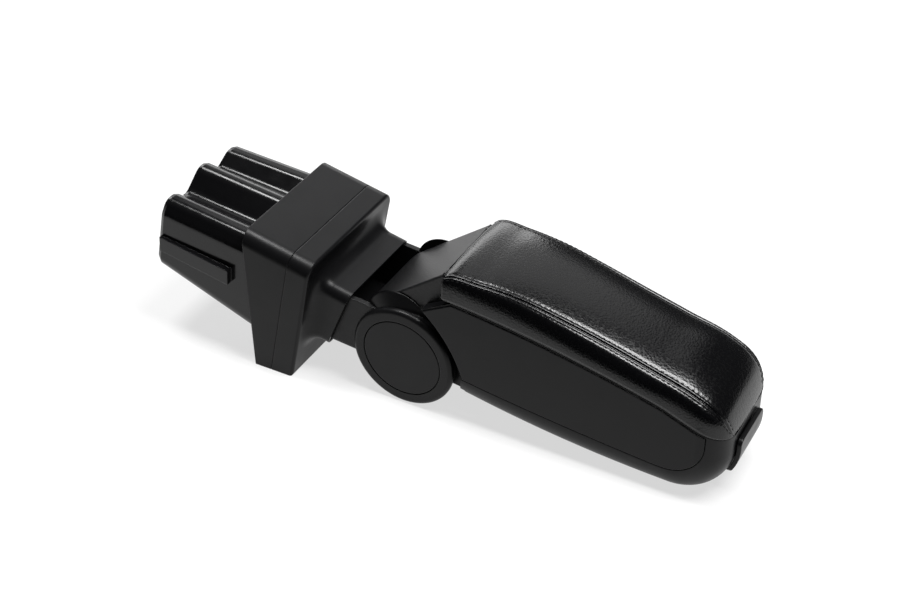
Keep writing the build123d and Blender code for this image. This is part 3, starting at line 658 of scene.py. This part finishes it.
@dataclass(frozen=True)
class RimLine:
    """The side-view line where the lid meets the bin: a long bend, a short bend and a front run.

    Attributes:
        rear: Its rear point, x and z.
        join: Where the long bend starts.
        slopes: Fall at the rear, between the bends and at the front, in degrees.
        bends: Radii of the long and the short bend.
    """

    rear: tuple[float, float] = (32.0, 65.4)
    join: float = 42.0
    slopes: tuple[float, float, float] = (6.3, 15.4, 22.0)
    bends: tuple[float, float] = (1000.0, 80.0)

    def height(self, x: np.ndarray) -> np.ndarray:
        """Give the rim's height at stations along the arm.

        Args:
            x: Stations.

        Returns:
            Heights above the axle.
        """
        falls = [math.radians(slope) for slope in self.slopes]
        start_x = self.join
        start_z = self.rear[1] - (self.join - self.rear[0]) * math.tan(falls[0])
        height = self.rear[1] - (x - self.rear[0]) * math.tan(falls[0])
        for radius, before, after in zip(self.bends, falls, falls[1:]):
            lean = np.clip((x - start_x) / radius + math.sin(before), -1, 1)
            bent = start_z + radius * (np.sqrt(1 - lean**2) - math.cos(before))
            height = np.where(x < start_x, height, bent)
            start_x += radius * (math.sin(after) - math.sin(before))
            start_z += radius * (math.cos(after) - math.cos(before))
        run = start_z - (x - start_x) * math.tan(falls[-1])
        return np.where(x < start_x, height, run)


@dataclass(frozen=True)
class Stitching:
    """One sewn seam: the fold in the middle and a row of stitches on each side of it.

    Attributes:
        pitch: Length of thread and hole together.
        thread: Length of thread that shows.
        width: Width of the thread.
        height: Height of the thread.
        row: Distance of a row from the fold.
        fold: Depth of the fold.
        fold_width: Half-width of the fold.
        dent: Depth of the dent under a row.
        dent_width: Half-width of the dent.
        pucker: Share by which the dent deepens at each hole.
        rungs: Distances from the fold at which the cover has points.
        steps: Sections of the cover for each stitch.
        bead: Faces round a stitch and along it.
        unit_radius: Radius of the ball of unit width that is scaled to a stitch.
    """

    pitch: float = 4.0
    thread: float = 2.8
    width: float = 0.8
    height: float = 0.55
    row: float = 2.9
    fold: float = 1.2
    fold_width: float = 0.6
    dent: float = 0.25
    dent_width: float = 0.8
    pucker: float = 0.3
    rungs: tuple[float, ...] = (0.0, 0.4, 0.8, 1.3, 1.9, 2.4, 2.9, 3.4, 4.2, 5.6, 7.4)
    steps: int = 4
    bead: tuple[int, int] = (8, 6)
    unit_radius: float = 0.5

    def sink(self, away: np.ndarray, along: np.ndarray) -> np.ndarray:
        """Give how deep the leather lies below its free surface.

        Args:
            away: Distance from the fold across it.
            along: Distance along the fold.

        Returns:
            Depths.
        """
        fold = self.fold * np.exp(-((away / self.fold_width) ** 2))
        beat = 1 + self.pucker * np.cos(2 * np.pi * along / self.pitch)
        return fold + self.dent * beat * np.exp(-(((away - self.row) / self.dent_width) ** 2))

    def sizes(self) -> dict[str, float]:
        """Give the sizes that the node tree takes, in metres."""
        sizes = {"Pitch": self.pitch, "Thread": self.thread, "Width": self.width, "Height": self.height}
        return {name: size * MM for name, size in sizes.items()}

    def tree(self) -> NodeTree:
        """Build the node tree that sews stitches along lines.

        Returns:
            The tree, which takes the lines, the sizes and the thread's finish.
        """
        tree = bpy.data.node_groups.new("sewn_rows", "GeometryNodeTree")
        tree.interface.new_socket("Lines", in_out="INPUT", socket_type="NodeSocketGeometry")
        for name in self.sizes():
            tree.interface.new_socket(name, in_out="INPUT", socket_type="NodeSocketFloat")
        tree.interface.new_socket("Finish", in_out="INPUT", socket_type="NodeSocketMaterial")
        tree.interface.new_socket("Stitches", in_out="OUTPUT", socket_type="NodeSocketGeometry")
        given = add_node(tree, "NodeGroupInput").outputs
        curve = add_node(tree, "GeometryNodeMeshToCurve", feeds={0: given["Lines"]})
        feeds = {"Curve": curve.outputs[0], "Length": given["Pitch"]}
        beats = add_node(tree, "GeometryNodeResampleCurve", {"mode": "LENGTH"}, feeds)
        tangent = add_node(tree, "GeometryNodeInputTangent")
        settings = {"data_type": "FLOAT_VECTOR"}
        up = add_node(tree, "GeometryNodeInputNamedAttribute", settings, {"Name": "up"})
        feeds = {"Vector": tangent.outputs[0]}
        along = add_node(tree, "FunctionNodeAlignRotationToVector", {"axis": "X"}, feeds)
        settings = {"axis": "Z", "pivot_axis": "X"}
        feeds = {"Rotation": along.outputs[0], "Vector": up.outputs[0]}
        upright = add_node(tree, "FunctionNodeAlignRotationToVector", settings, feeds)
        feeds = {"Segments": self.bead[0], "Rings": self.bead[1], "Radius": self.unit_radius}
        bead = add_node(tree, "GeometryNodeMeshUVSphere", feeds=feeds)
        round_bead = add_node(tree, "GeometryNodeSetShadeSmooth", feeds={"Geometry": bead.outputs[0]})
        feeds = {"X": given["Thread"], "Y": given["Width"], "Z": given["Height"]}
        size = add_node(tree, "ShaderNodeCombineXYZ", feeds=feeds)
        feeds = {
            "Points": beats.outputs[0],
            "Instance": round_bead.outputs[0],
            "Rotation": upright.outputs[0],
            "Scale": size.outputs[0],
        }
        sewn = add_node(tree, "GeometryNodeInstanceOnPoints", feeds=feeds)
        real = add_node(tree, "GeometryNodeRealizeInstances", feeds={0: sewn.outputs[0]})
        feeds = {"Geometry": real.outputs[0], "Material": given["Finish"]}
        dressed = add_node(tree, "GeometryNodeSetMaterial", feeds=feeds)
        add_node(tree, "NodeGroupOutput", feeds={"Stitches": dressed.outputs[0]})
        return tree


@dataclass(frozen=True)
class Stuffing:
    """How the pad's foam pushes out its cover.

    Attributes:
        pressure: Pressure inside the cover.
        frames: Steps of the simulation.
        most: The furthest a point may move, in millimetres.
        softness: Bending stiffness of the cover.
        stretch: Stiffness of the cover against stretch and squeeze.
        shear: Stiffness of the cover against shear.
        mass: Mass of one point of the cover, in kilograms.
        quality: Sub-steps of each step.
    """

    pressure: float = 4.0
    frames: int = 20
    most: float = 1.4
    softness: float = 0.5
    stretch: float = 20.0
    shear: float = 10.0
    mass: float = 0.2
    quality: int = 6

    def swell(self, piece: Object, held: Sequence[int]) -> np.ndarray:
        """Blow up a closed cover between its sewn lines.

        Args:
            piece: The cover.
            held: Points that the seams and the frame hold.

        Returns:
            The cover's points in metres after the swelling.
        """
        rest = np.array([vertex.co for vertex in piece.data.vertices])
        pins = piece.vertex_groups.new(name="held")
        pins.add(list(held), 1.0, "REPLACE")
        cloth = piece.modifiers.new("cover", "CLOTH")
        settings = cloth.settings
        settings.quality = self.quality
        settings.mass = self.mass
        settings.tension_stiffness = self.stretch
        settings.compression_stiffness = self.stretch
        settings.shear_stiffness = self.shear
        settings.bending_stiffness = self.softness
        settings.use_pressure = True
        settings.uniform_pressure_force = self.pressure
        settings.vertex_group_mass = "held"
        settings.effector_weights.gravity = 0.0
        cloth.collision_settings.use_collision = False
        cloth.point_cache.frame_start = 1
        cloth.point_cache.frame_end = self.frames
        scene = bpy.context.scene
        for step in range(1, self.frames + 1):
            scene.frame_set(step)
        graph = bpy.context.evaluated_depsgraph_get()
        swollen = piece.evaluated_get(graph).to_mesh()
        moved = np.array([vertex.co for vertex in swollen.vertices]) - rest
        scene.frame_set(1)
        piece.modifiers.remove(cloth)
        far = np.linalg.norm(moved, axis=1)
        scale = np.minimum(1.0, self.most * MM / np.maximum(far, LEAST))
        log.info("cover swells by up to %.2f mm", float(far.max()) / MM)
        return rest + moved * scale[:, None]


@dataclass
class Pad:
    """The padded lid cover: a top panel that wraps over the front, and a sewn band on each side.

    Attributes:
        rim: The line between lid and bin.
        sewing: The seam between the top panel and a band.
        stuffing: The foam under the cover.
        half: Half-width at the hem.
        hem_rear: Where the hem starts.
        corner: Centre of the near-front corner, x and distance from the middle.
        corner_end: Where the hem's corner meets the seam, in degrees.
        hem_lift: Height of the hem above the rim.
        hem_thick: Thickness of the hem.
        floor_lift: Height of the pad's underside above the rim.
        floor_row: Share of the underside's half-width at which it has a row of points.
        seam: The seam as stations, half-widths and heights.
        crown: Rise of the top panel's middle over its seams, as shares of the length and rises.
        crown_power: How square the crown is, from rear to front.
        front_bow: How far the front edge bows out.
        bow_start: Share of the length at which the bow starts.
        rear_round: Radius of the rear edge.
        rear_rungs: Distances from the rear edge at which its round has points.
        front_fade: Length over which the sewn fold fades out at the front.
        band_foot: Share of the way in that the band has leant partway up.
        band_belly: Share of its height at which it has leant so.
        band_roll: Share of the way in over which it rolls over at the seam.
        band_drop: Share of its height that it falls in that roll.
        full_band: Width of a band below which its rungs close up.
        stations: Sections of the coarse cover.
        band_points: Coarse points on a band, from hem to seam.
        top_points: Coarse points on the top panel, from seam to seam.
        band_spare: Fine points on a band beyond its rungs.
        top_spare: Fine points on half the top panel beyond its rungs.
        row_ends: Fine sections without stitches at the rear and at the front.
    """

    rim: RimLine
    sewing: Stitching
    stuffing: Stuffing
    half: float = 44.8
    hem_rear: float = 33.4
    corner: tuple[float, float] = (228.0, 22.5)
    corner_end: float = 13.0
    hem_lift: float = 0.7
    hem_thick: float = 1.1
    floor_lift: float = 3.9
    floor_row: float = 0.4
    seam: tuple[tuple[float, float, float], ...] = (
        (33.2, 40.0, 81.1),
        (37.0, 40.0, 83.0),
        (61.5, 39.0, 83.6),
        (92.0, 37.3, 80.8),
        (122.0, 36.0, 73.9),
        (152.0, 35.0, 65.8),
        (188.5, 35.1, 55.4),
        (222.0, 35.9, 45.4),
        (236.0, 35.2, 37.9),
        (243.8, 33.7, 30.2),
        (247.6, 31.6, 21.8),
        (249.3, 29.2, 15.5),
    )
    crown: tuple[tuple[float, float], ...] = ((0.0, 2.4), (0.15, 4.2), (0.8, 5.5), (0.93, 3.0), (1.0, 0.0))
    crown_power: tuple[float, float] = (2.2, 2.8)
    front_bow: float = 1.2
    bow_start: float = 0.7
    rear_round: float = 2.0
    rear_rungs: tuple[float, ...] = (0.0, 0.15, 0.4, 0.8, 1.3)
    front_fade: float = 10.0
    band_foot: float = 0.22
    band_belly: float = 0.5
    band_roll: float = 0.85
    band_drop: float = 0.05
    full_band: float = 15.0
    stations: int = 60
    band_points: int = 7
    top_points: int = 19
    band_spare: int = 7
    top_spare: int = 16
    row_ends: tuple[int, int] = (4, 6)

    def seam_places(self) -> tuple[int, int]:
        """Give the places of the near and the far seam on a coarse section."""
        near = self.band_points - 1
        return near, near + self.top_points - 1

    def hem_line(self) -> tuple[np.ndarray, np.ndarray]:
        """Lay the near hem from the rear, along the side and round the corner.

        Returns:
            The hem's points and the directions outwards, as rows of x and distance from the middle.
        """
        radius = self.half - self.corner[1]
        run = self.corner[0] - self.hem_rear
        bend = radius * math.radians(90 - self.corner_end)
        gone = np.linspace(0.0, run + bend, self.stations)
        turn = np.radians(90) - np.clip(gone - run, 0, None) / radius
        out = np.column_stack([np.cos(turn), np.sin(turn)])
        straight = np.minimum(gone, run) - run
        points = np.array(self.corner) + radius * out
        points[:, 0] += straight
        return points, out

    def sections(self) -> tuple[np.ndarray, np.ndarray, np.ndarray]:
        """Draw the cover's cross-sections from the near hem over the top to the far hem.

        Returns:
            The points by section and place, and the near inner hem as plan points and heights.
        """
        shares = np.linspace(0.0, 1.0, self.stations)
        seam = smooth_line(np.array(self.seam), shares)
        hem, out = self.hem_line()
        hem_z = self.rim.height(hem[:, 0]) + self.hem_lift
        foot = np.column_stack([hem, hem_z])
        tall = (seam[:, 2] - hem_z)[:, None]
        rise = np.array([0.0, 0.0, 1.0])
        inward = (seam - foot) * np.array([1.0, 1.0, 0.0])
        first = foot + inward * self.band_foot + rise * tall * self.band_belly
        second = seam - inward * self.band_roll - rise * tall * self.band_drop
        t = np.linspace(0.0, 1.0, self.band_points)[None, :, None]
        near = (
            (1 - t) ** 3 * foot[:, None]
            + 3 * t * (1 - t) ** 2 * first[:, None]
            + 3 * t**2 * (1 - t) * second[:, None]
            + t**3 * seam[:, None]
        )
        across = np.linspace(1.0, -1.0, self.top_points)[None, :]
        crown = np.interp(shares, *zip(*self.crown))
        power = np.interp(shares, [0.0, 1.0], self.crown_power)[:, None]
        lift = crown[:, None] * (1 - np.abs(across) ** power)
        reach = np.clip((shares - self.bow_start) / (1 - self.bow_start), 0, 1)[:, None]
        bow = self.front_bow * reach * (1 - across**2)
        panel = np.stack([seam[:, :1] + bow, seam[:, 1:2] * across, seam[:, 2:] + lift], axis=2)
        far = near[:, ::-1] * MIRROR
        skin = np.concatenate([near[:, :-1], panel, far[:, 1:]], axis=1) * MIRROR
        return skin, hem - out * self.hem_thick, hem_z

    def ring_mesh(
        self, name: str, skin: np.ndarray, inner: np.ndarray, hem_z: np.ndarray
    ) -> Object:
        """Close the cover's cross-sections with the hem's inner wall and the underside.

        Args:
            name: The piece's name.
            skin: Cover points by section and place.
            inner: Inner hem as plan points.
            hem_z: Height of the hem.

        Returns:
            The closed piece.
        """
        floor_z = hem_z - self.hem_lift + self.floor_lift
        walls = [(hem_z, 1.0), (floor_z, 1.0), (floor_z, self.floor_row)]
        walls += [(height, -share) for height, share in reversed(walls)]
        columns = [skin]
        for height, share in walls:
            columns.append(np.column_stack([inner[:, 0], inner[:, 1] * share, height])[:, None])
        ring = np.concatenate(columns, axis=1)
        sections, places = ring.shape[:2]
        faces = []
        for row in range(sections - 1):
            for place_here in range(places):
                beside = (place_here + 1) % places
                low, high = row * places, (row + 1) * places
                faces.append((low + place_here, high + place_here, high + beside, low + beside))
        faces.append(tuple(range(places)))
        faces.append(tuple((sections - 1) * places + spot for spot in reversed(range(places))))
        return mesh_object(name, place(ring.reshape(-1, 3)), faces)

    def stuffed(self) -> tuple[np.ndarray, np.ndarray, np.ndarray]:
        """Draw the cover coarsely and let its foam push it out.

        Returns:
            The swollen cover's points, the inner hem and the hem's height.
        """
        skin, inner, hem_z = self.sections()
        cover = self.ring_mesh("cover_trial", skin, inner, hem_z)
        places = len(cover.data.vertices) // self.stations
        far_hem = skin.shape[1] - 1
        firm = {0, *self.seam_places(), *range(far_hem, places)}
        held = [
            row * places + spot
            for row in range(self.stations)
            for spot in range(places)
            if spot in firm or row in (0, self.stations - 1)
        ]
        swollen = self.stuffing.swell(cover, held)
        bpy.data.objects.remove(cover)
        grid = (swollen - np.array(AXLE)) / MM
        return grid.reshape(self.stations, places, 3)[:, : far_hem + 1], inner, hem_z

    def refine(self, skin: np.ndarray) -> tuple[np.ndarray, np.ndarray]:
        """Read the coarse cover closely, with points bunched beside the seams.

        Args:
            skin: Coarse cover points.

        Returns:
            The fine points by section and place, and each one's distance from the nearest seam.
        """
        rungs = np.array(self.sewing.rungs)
        spare_band = np.linspace(0.0, 1.0, self.band_spare + 1)[1:]
        spare_top = np.linspace(0.0, 1.0, self.top_spare + 1)[1:]
        near_seam, far_seam = self.seam_places()
        rows, gaps = [], []
        for section in skin:
            near, far = section[: near_seam + 1], section[far_seam:]
            panel = section[near_seam : far_seam + 1]
            wide = line_length(near)
            close = rungs * min(1.0, wide / self.full_band)
            away = np.concatenate([close, close[-1] + spare_band * (wide - close[-1])])
            across = line_length(panel)
            half = np.concatenate([rungs, rungs[-1] + spare_top * (across / 2 - rungs[-1])])
            sides = np.concatenate([half, across - half[-2::-1]])
            parts = [
                smooth_line(near, 1 - away[::-1] / wide),
                smooth_line(panel, sides / across)[1:-1],
                smooth_line(far, away / wide),
            ]
            rows.append(np.concatenate(parts))
            reach = np.concatenate([half, half[-2::-1]])[1:-1]
            gaps.append(np.concatenate([away[::-1], reach, away]))
        coarse, gap = np.array(rows), np.array(gaps)
        length = line_length(coarse[:, len(away) - 1])
        step = self.sewing.pitch / self.sewing.steps
        even = np.arange(self.rear_round, length, step)[:-1]
        shares = np.concatenate([self.rear_rungs, even, [length]]) / length
        fine = np.stack([smooth_line(coarse[:, spot], shares) for spot in range(coarse.shape[1])], axis=1)
        known = np.linspace(0.0, 1.0, len(gap))
        gap = np.stack([np.interp(shares, known, gap[:, spot]) for spot in range(gap.shape[1])], axis=1)
        return fine, gap

    def normals(self, skin: np.ndarray) -> np.ndarray:
        """Find the outward directions of the cover.

        Args:
            skin: Cover points by section and place.

        Returns:
            One unit direction for each point.
        """
        along = np.gradient(skin, axis=0)
        across = np.gradient(skin, axis=1)
        out = np.cross(along, across)
        return out / np.maximum(np.linalg.norm(out, axis=2, keepdims=True), LEAST)

    def build(self) -> tuple[Object, list[Row]]:
        """Make the cover with its sewn folds.

        Returns:
            The piece and its stitch rows.
        """
        skin, inner, hem_z = self.stuffed()
        fine, gap = self.refine(skin)
        out = self.normals(fine)
        fold = int(np.argmin(gap[0][: gap.shape[1] // 2]))
        step = np.linalg.norm(np.diff(fine[:, fold], axis=0), axis=1)
        along = np.concatenate([[0.0], np.cumsum(step)])[:, None]
        fade = np.clip((along[-1] - along) / self.front_fade, 0, 1)
        fade = fade * np.clip(along / self.rear_round, 0, 1)
        turn = np.clip(1 - along / self.rear_round, 0, 1)
        tuck = self.rear_round * (1 - np.sqrt(1 - turn**2))
        sink = self.sewing.sink(gap, along) * fade + tuck
        fine = fine - out * sink[:, :, None]
        known, shares = np.linspace(0.0, 1.0, self.stations), along[:, 0] / along[-1, 0]
        inner = np.column_stack([np.interp(shares, known, inner[:, axis]) for axis in (0, 1)])
        hem_z = np.interp(shares, known, hem_z)
        piece = self.ring_mesh("lid_pad", fine, inner, hem_z)
        beside = self.sewing.rungs.index(self.sewing.row)
        kept = slice(self.row_ends[0], -self.row_ends[1])
        rows = []
        for middle in (fold, fine.shape[1] - 1 - fold):
            for spot in (middle - beside, middle + beside):
                rows.append((fine[kept, spot], out[kept, spot]))
        return piece, rows

    def sew(self, rows: list[Row], thread: Material) -> Object:
        """Sew the stitch rows.

        Args:
            rows: The stitch rows.
            thread: The thread's material.

        Returns:
            All the stitches as one piece.
        """
        points, ups, edges = [], [], []
        for line, up in rows:
            first = len(points)
            points.extend(place(line))
            ups.extend(up)
            edges.extend((spot, spot + 1) for spot in range(first, len(points) - 1))
        lines = bpy.data.meshes.new("stitch_lines")
        lines.from_pydata([tuple(point) for point in points], edges, [])
        attribute = lines.attributes.new("up", "FLOAT_VECTOR", "POINT")
        attribute.data.foreach_set("vector", np.array(ups, np.float32).ravel())
        guide = add_object("stitch_guide", lines)
        tree = self.sewing.tree()
        modifier = guide.modifiers.new("stitches", "NODES")
        modifier.node_group = tree
        given = {**self.sewing.sizes(), "Finish": thread}
        for item in tree.interface.items_tree:
            if item.in_out == "INPUT" and item.name in given:
                modifier[item.identifier] = given[item.name]
        graph = bpy.context.evaluated_depsgraph_get()
        mesh = bpy.data.meshes.new_from_object(guide.evaluated_get(graph), depsgraph=graph)
        mesh.name = "lid_stitches"
        guide.modifiers.remove(modifier)
        bpy.data.objects.remove(guide)
        return add_object("lid_stitches", mesh)


@dataclass
class Lid:
    """The lid: its moulded frame, its hardware and the sewn pad on top."""

    pad: Pad
    shells: tuple[str, ...] = ("lid_frame", "lid_catch")
    hardware: tuple[str, ...] = ("lid_screws", "lid_hinge_pins")

    def build(self, wardrobe: Wardrobe) -> None:
        """Make the pad and its stitches, and set them on the lid.

        Args:
            wardrobe: The finishes' materials.
        """
        cover, rows = self.pad.build()
        wardrobe.wear(cover, PAD_LEATHER)
        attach(cover, Body.LID.value)
        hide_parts("lid_cushion")
        log.info("pad has %d faces", len(cover.data.polygons))
        stitches = self.pad.sew(rows, wardrobe.material(SEAM_THREAD))
        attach(stitches, Body.LID.value)
        log.info("stitches have %d faces", len(stitches.data.polygons))

    def dress(self, wardrobe: Wardrobe) -> None:
        """Put the finishes on the lid's nodes."""
        wardrobe.dress(Body.LID, {SATIN_ABS: self.shells, ZINC_STEEL: self.hardware})


# Stage


@dataclass(frozen=True)
class SoftBox:
    """A soft studio lamp that faces the armrest.

    Attributes:
        name: The lamp's name.
        towards: Direction from the armrest to the lamp.
        away: Distance in metres.
        size: Width and height in metres.
        watts: Power.
        along: Where on the armrest's length it aims, in metres.
    """

    name: str
    towards: tuple[float, float, float]
    away: float
    size: tuple[float, float]
    watts: float
    along: float = 0.0

    def build(self, height: float) -> None:
        """Hang the lamp and point it at the armrest's middle line.

        Args:
            height: Height that it aims at, in metres.
        """
        aim = Vector((self.along, 0.0, height))
        lamp = bpy.data.lights.new(self.name, "AREA")
        lamp.shape = "RECTANGLE"
        lamp.size, lamp.size_y = self.size
        lamp.energy = self.watts
        hung = add_object(self.name, lamp)
        direction = Vector(self.towards).normalized()
        hung.location = aim + direction * self.away
        hung.rotation_euler = direction.to_track_quat("Z", "Y").to_euler()


@dataclass
class Studio:
    """Pale floor, black card, soft lamps, room and camera.

    Attributes:
        floor_half: Half-width of the floor in metres.
        floor_colour: The floor's sRGB hex value.
        floor_lift: Light that the floor adds for the camera and for reflections.
        flag_y: Where the black card stands, in metres.
        flag_size: The card's half-width and height in metres.
        flag_colour: The card's sRGB hex value.
        room: Grey of the room around.
        aim_height: Height that the lamps aim at, in metres.
        lamps: The soft boxes.
        eye: The camera's place in millimetres from the axle.
        azimuth: Its turn from straight on, in degrees.
        elevation: Its height angle in degrees.
        roll: Its roll in degrees.
        focal: Its focal length in picture pixels.
        picture_width: Width of the picture in pixels.
        sensor: Width of the camera's sensor in millimetres.
        nearest: Least distance that the camera shows, in metres.
    """

    floor_half: float = 4.0
    floor_colour: str = "#868686"
    floor_lift: float = 0.66
    flag_y: float = -0.3
    flag_size: tuple[float, float] = (0.9, 0.4)
    flag_colour: str = "#101010"
    room: float = 0.05
    aim_height: float = 0.05
    lamps: tuple[SoftBox, ...] = (
        SoftBox("arm_box", (0.0, -0.01, 1.0), 1.3, (0.8, 0.42), 32.0, 0.58),
        SoftBox("plug_box", (0.0, -0.02, 1.0), 1.3, (0.5, 0.28), 16.0, -0.44),
        SoftBox("back_sheet", (-0.68, 0.7, 0.35), 1.6, (1.6, 0.6), 11.0),
        SoftBox("top_sheet", (-0.17, 0.65, 0.74), 1.6, (1.2, 1.0), 4.2),
    )
    eye: tuple[float, float, float] = (481.5, -815.7, 732.5)
    azimuth: float = 29.26
    elevation: float = 37.07
    roll: float = -0.85
    focal: float = 1595.1
    picture_width: float = 920.0
    sensor: float = 36.0
    nearest: float = 0.05

    def build(self) -> None:
        """Lay the floor, stand the card, hang the lamps and set the room and the camera."""
        self.lay_floor()
        self.stand_flag()
        for lamp in self.lamps:
            lamp.build(self.aim_height)
        self.set_room()
        self.set_camera()

    def lay_floor(self) -> None:
        """Lay the pale floor, which keeps the shadow."""
        half = self.floor_half
        corners = np.array([(-half, -half, 0), (half, -half, 0), (half, half, 0), (-half, half, 0)])
        floor = mesh_object("floor", corners, [(0, 1, 2, 3)])
        # Pale paper: matt, with a glow for the camera and for reflections that makes it read as white.
        material = bpy.data.materials.new("pale_paper_floor")
        tree = blank_tree(material)
        paper = add_node(tree, "ShaderNodeBsdfDiffuse", feeds={"Color": linear(self.floor_colour)})
        path = add_node(tree, "ShaderNodeLightPath").outputs
        seen = path["Is Camera Ray"]
        for ray in ("Is Glossy Ray", "Is Transmission Ray"):
            feeds = {0: seen, 1: path[ray]}
            seen = add_node(tree, "ShaderNodeMath", {"operation": "MAXIMUM"}, feeds).outputs[0]
        feeds = {0: seen, 1: self.floor_lift}
        lift = add_node(tree, "ShaderNodeMath", {"operation": "MULTIPLY"}, feeds)
        glow = add_node(tree, "ShaderNodeEmission", feeds={"Strength": lift.outputs[0]})
        both = add_node(tree, "ShaderNodeAddShader", feeds={0: paper.outputs[0], 1: glow.outputs[0]})
        add_node(tree, "ShaderNodeOutputMaterial", feeds={"Surface": both.outputs[0]})
        floor.data.materials.append(material)

    def stand_flag(self) -> None:
        """Stand a black card in front, so that the sides don't mirror the floor's far end.

        Only reflections see it.
        """
        wide, tall = self.flag_size
        y = self.flag_y
        corners = np.array([(-wide, y, 0), (wide, y, 0), (wide, y, tall), (-wide, y, tall)])
        card = mesh_object("black_flag", corners, [(0, 1, 2, 3)])
        # Black felt: matt, and too dark to show as more than a shade in a reflection.
        material = bpy.data.materials.new("black_felt_flag")
        tree = blank_tree(material)
        felt = add_node(tree, "ShaderNodeBsdfDiffuse", feeds={"Color": linear(self.flag_colour)})
        add_node(tree, "ShaderNodeOutputMaterial", feeds={"Surface": felt.outputs[0]})
        card.data.materials.append(material)
        card.visible_camera = card.visible_diffuse = card.visible_shadow = False

    def set_room(self) -> None:
        """Fill the room with an even grey."""
        world = bpy.data.worlds.new("grey_room")
        tree = blank_tree(world)
        feeds = {"Color": (1.0, 1.0, 1.0, 1.0), "Strength": self.room}
        air = add_node(tree, "ShaderNodeBackground", feeds=feeds)
        add_node(tree, "ShaderNodeOutputWorld", feeds={"Surface": air.outputs[0]})
        bpy.context.scene.world = world

    def set_camera(self) -> None:
        """Set the camera at the picture's angle."""
        turn, rise, roll = (math.radians(angle) for angle in (self.azimuth, self.elevation, self.roll))
        back = Vector((math.sin(turn) * math.cos(rise), -math.cos(turn) * math.cos(rise), math.sin(rise)))
        level = Vector((math.cos(turn), math.sin(turn), 0.0))
        upright = back.cross(level)
        right = math.cos(roll) * level + math.sin(roll) * upright
        up = math.cos(roll) * upright - math.sin(roll) * level
        lens = bpy.data.cameras.new("camera")
        lens.sensor_width = self.sensor
        lens.lens = self.focal / self.picture_width * self.sensor
        lens.clip_start = self.nearest
        camera = add_object("camera", lens)
        turned = Matrix((right, up, back)).transposed().to_4x4()
        camera.matrix_world = Matrix.Translation(Vector(place(np.array(self.eye)))) @ turned
        bpy.context.scene.camera = camera


def main() -> None:
    """Build and dress the armrest in order, then the stage."""
    logging.basicConfig(level=logging.INFO, format="%(name)s: %(message)s")
    bpy.context.scene.view_settings.view_transform = "Standard"
    wardrobe = Wardrobe()
    Base().dress(wardrobe)
    Arm().dress(wardrobe)
    Latch().dress(wardrobe)
    lid = Lid(Pad(RimLine(), Stitching(), Stuffing()))
    lid.build(wardrobe)
    lid.dress(wardrobe)
    Studio().build()


if __name__ == "__main__":
    main()
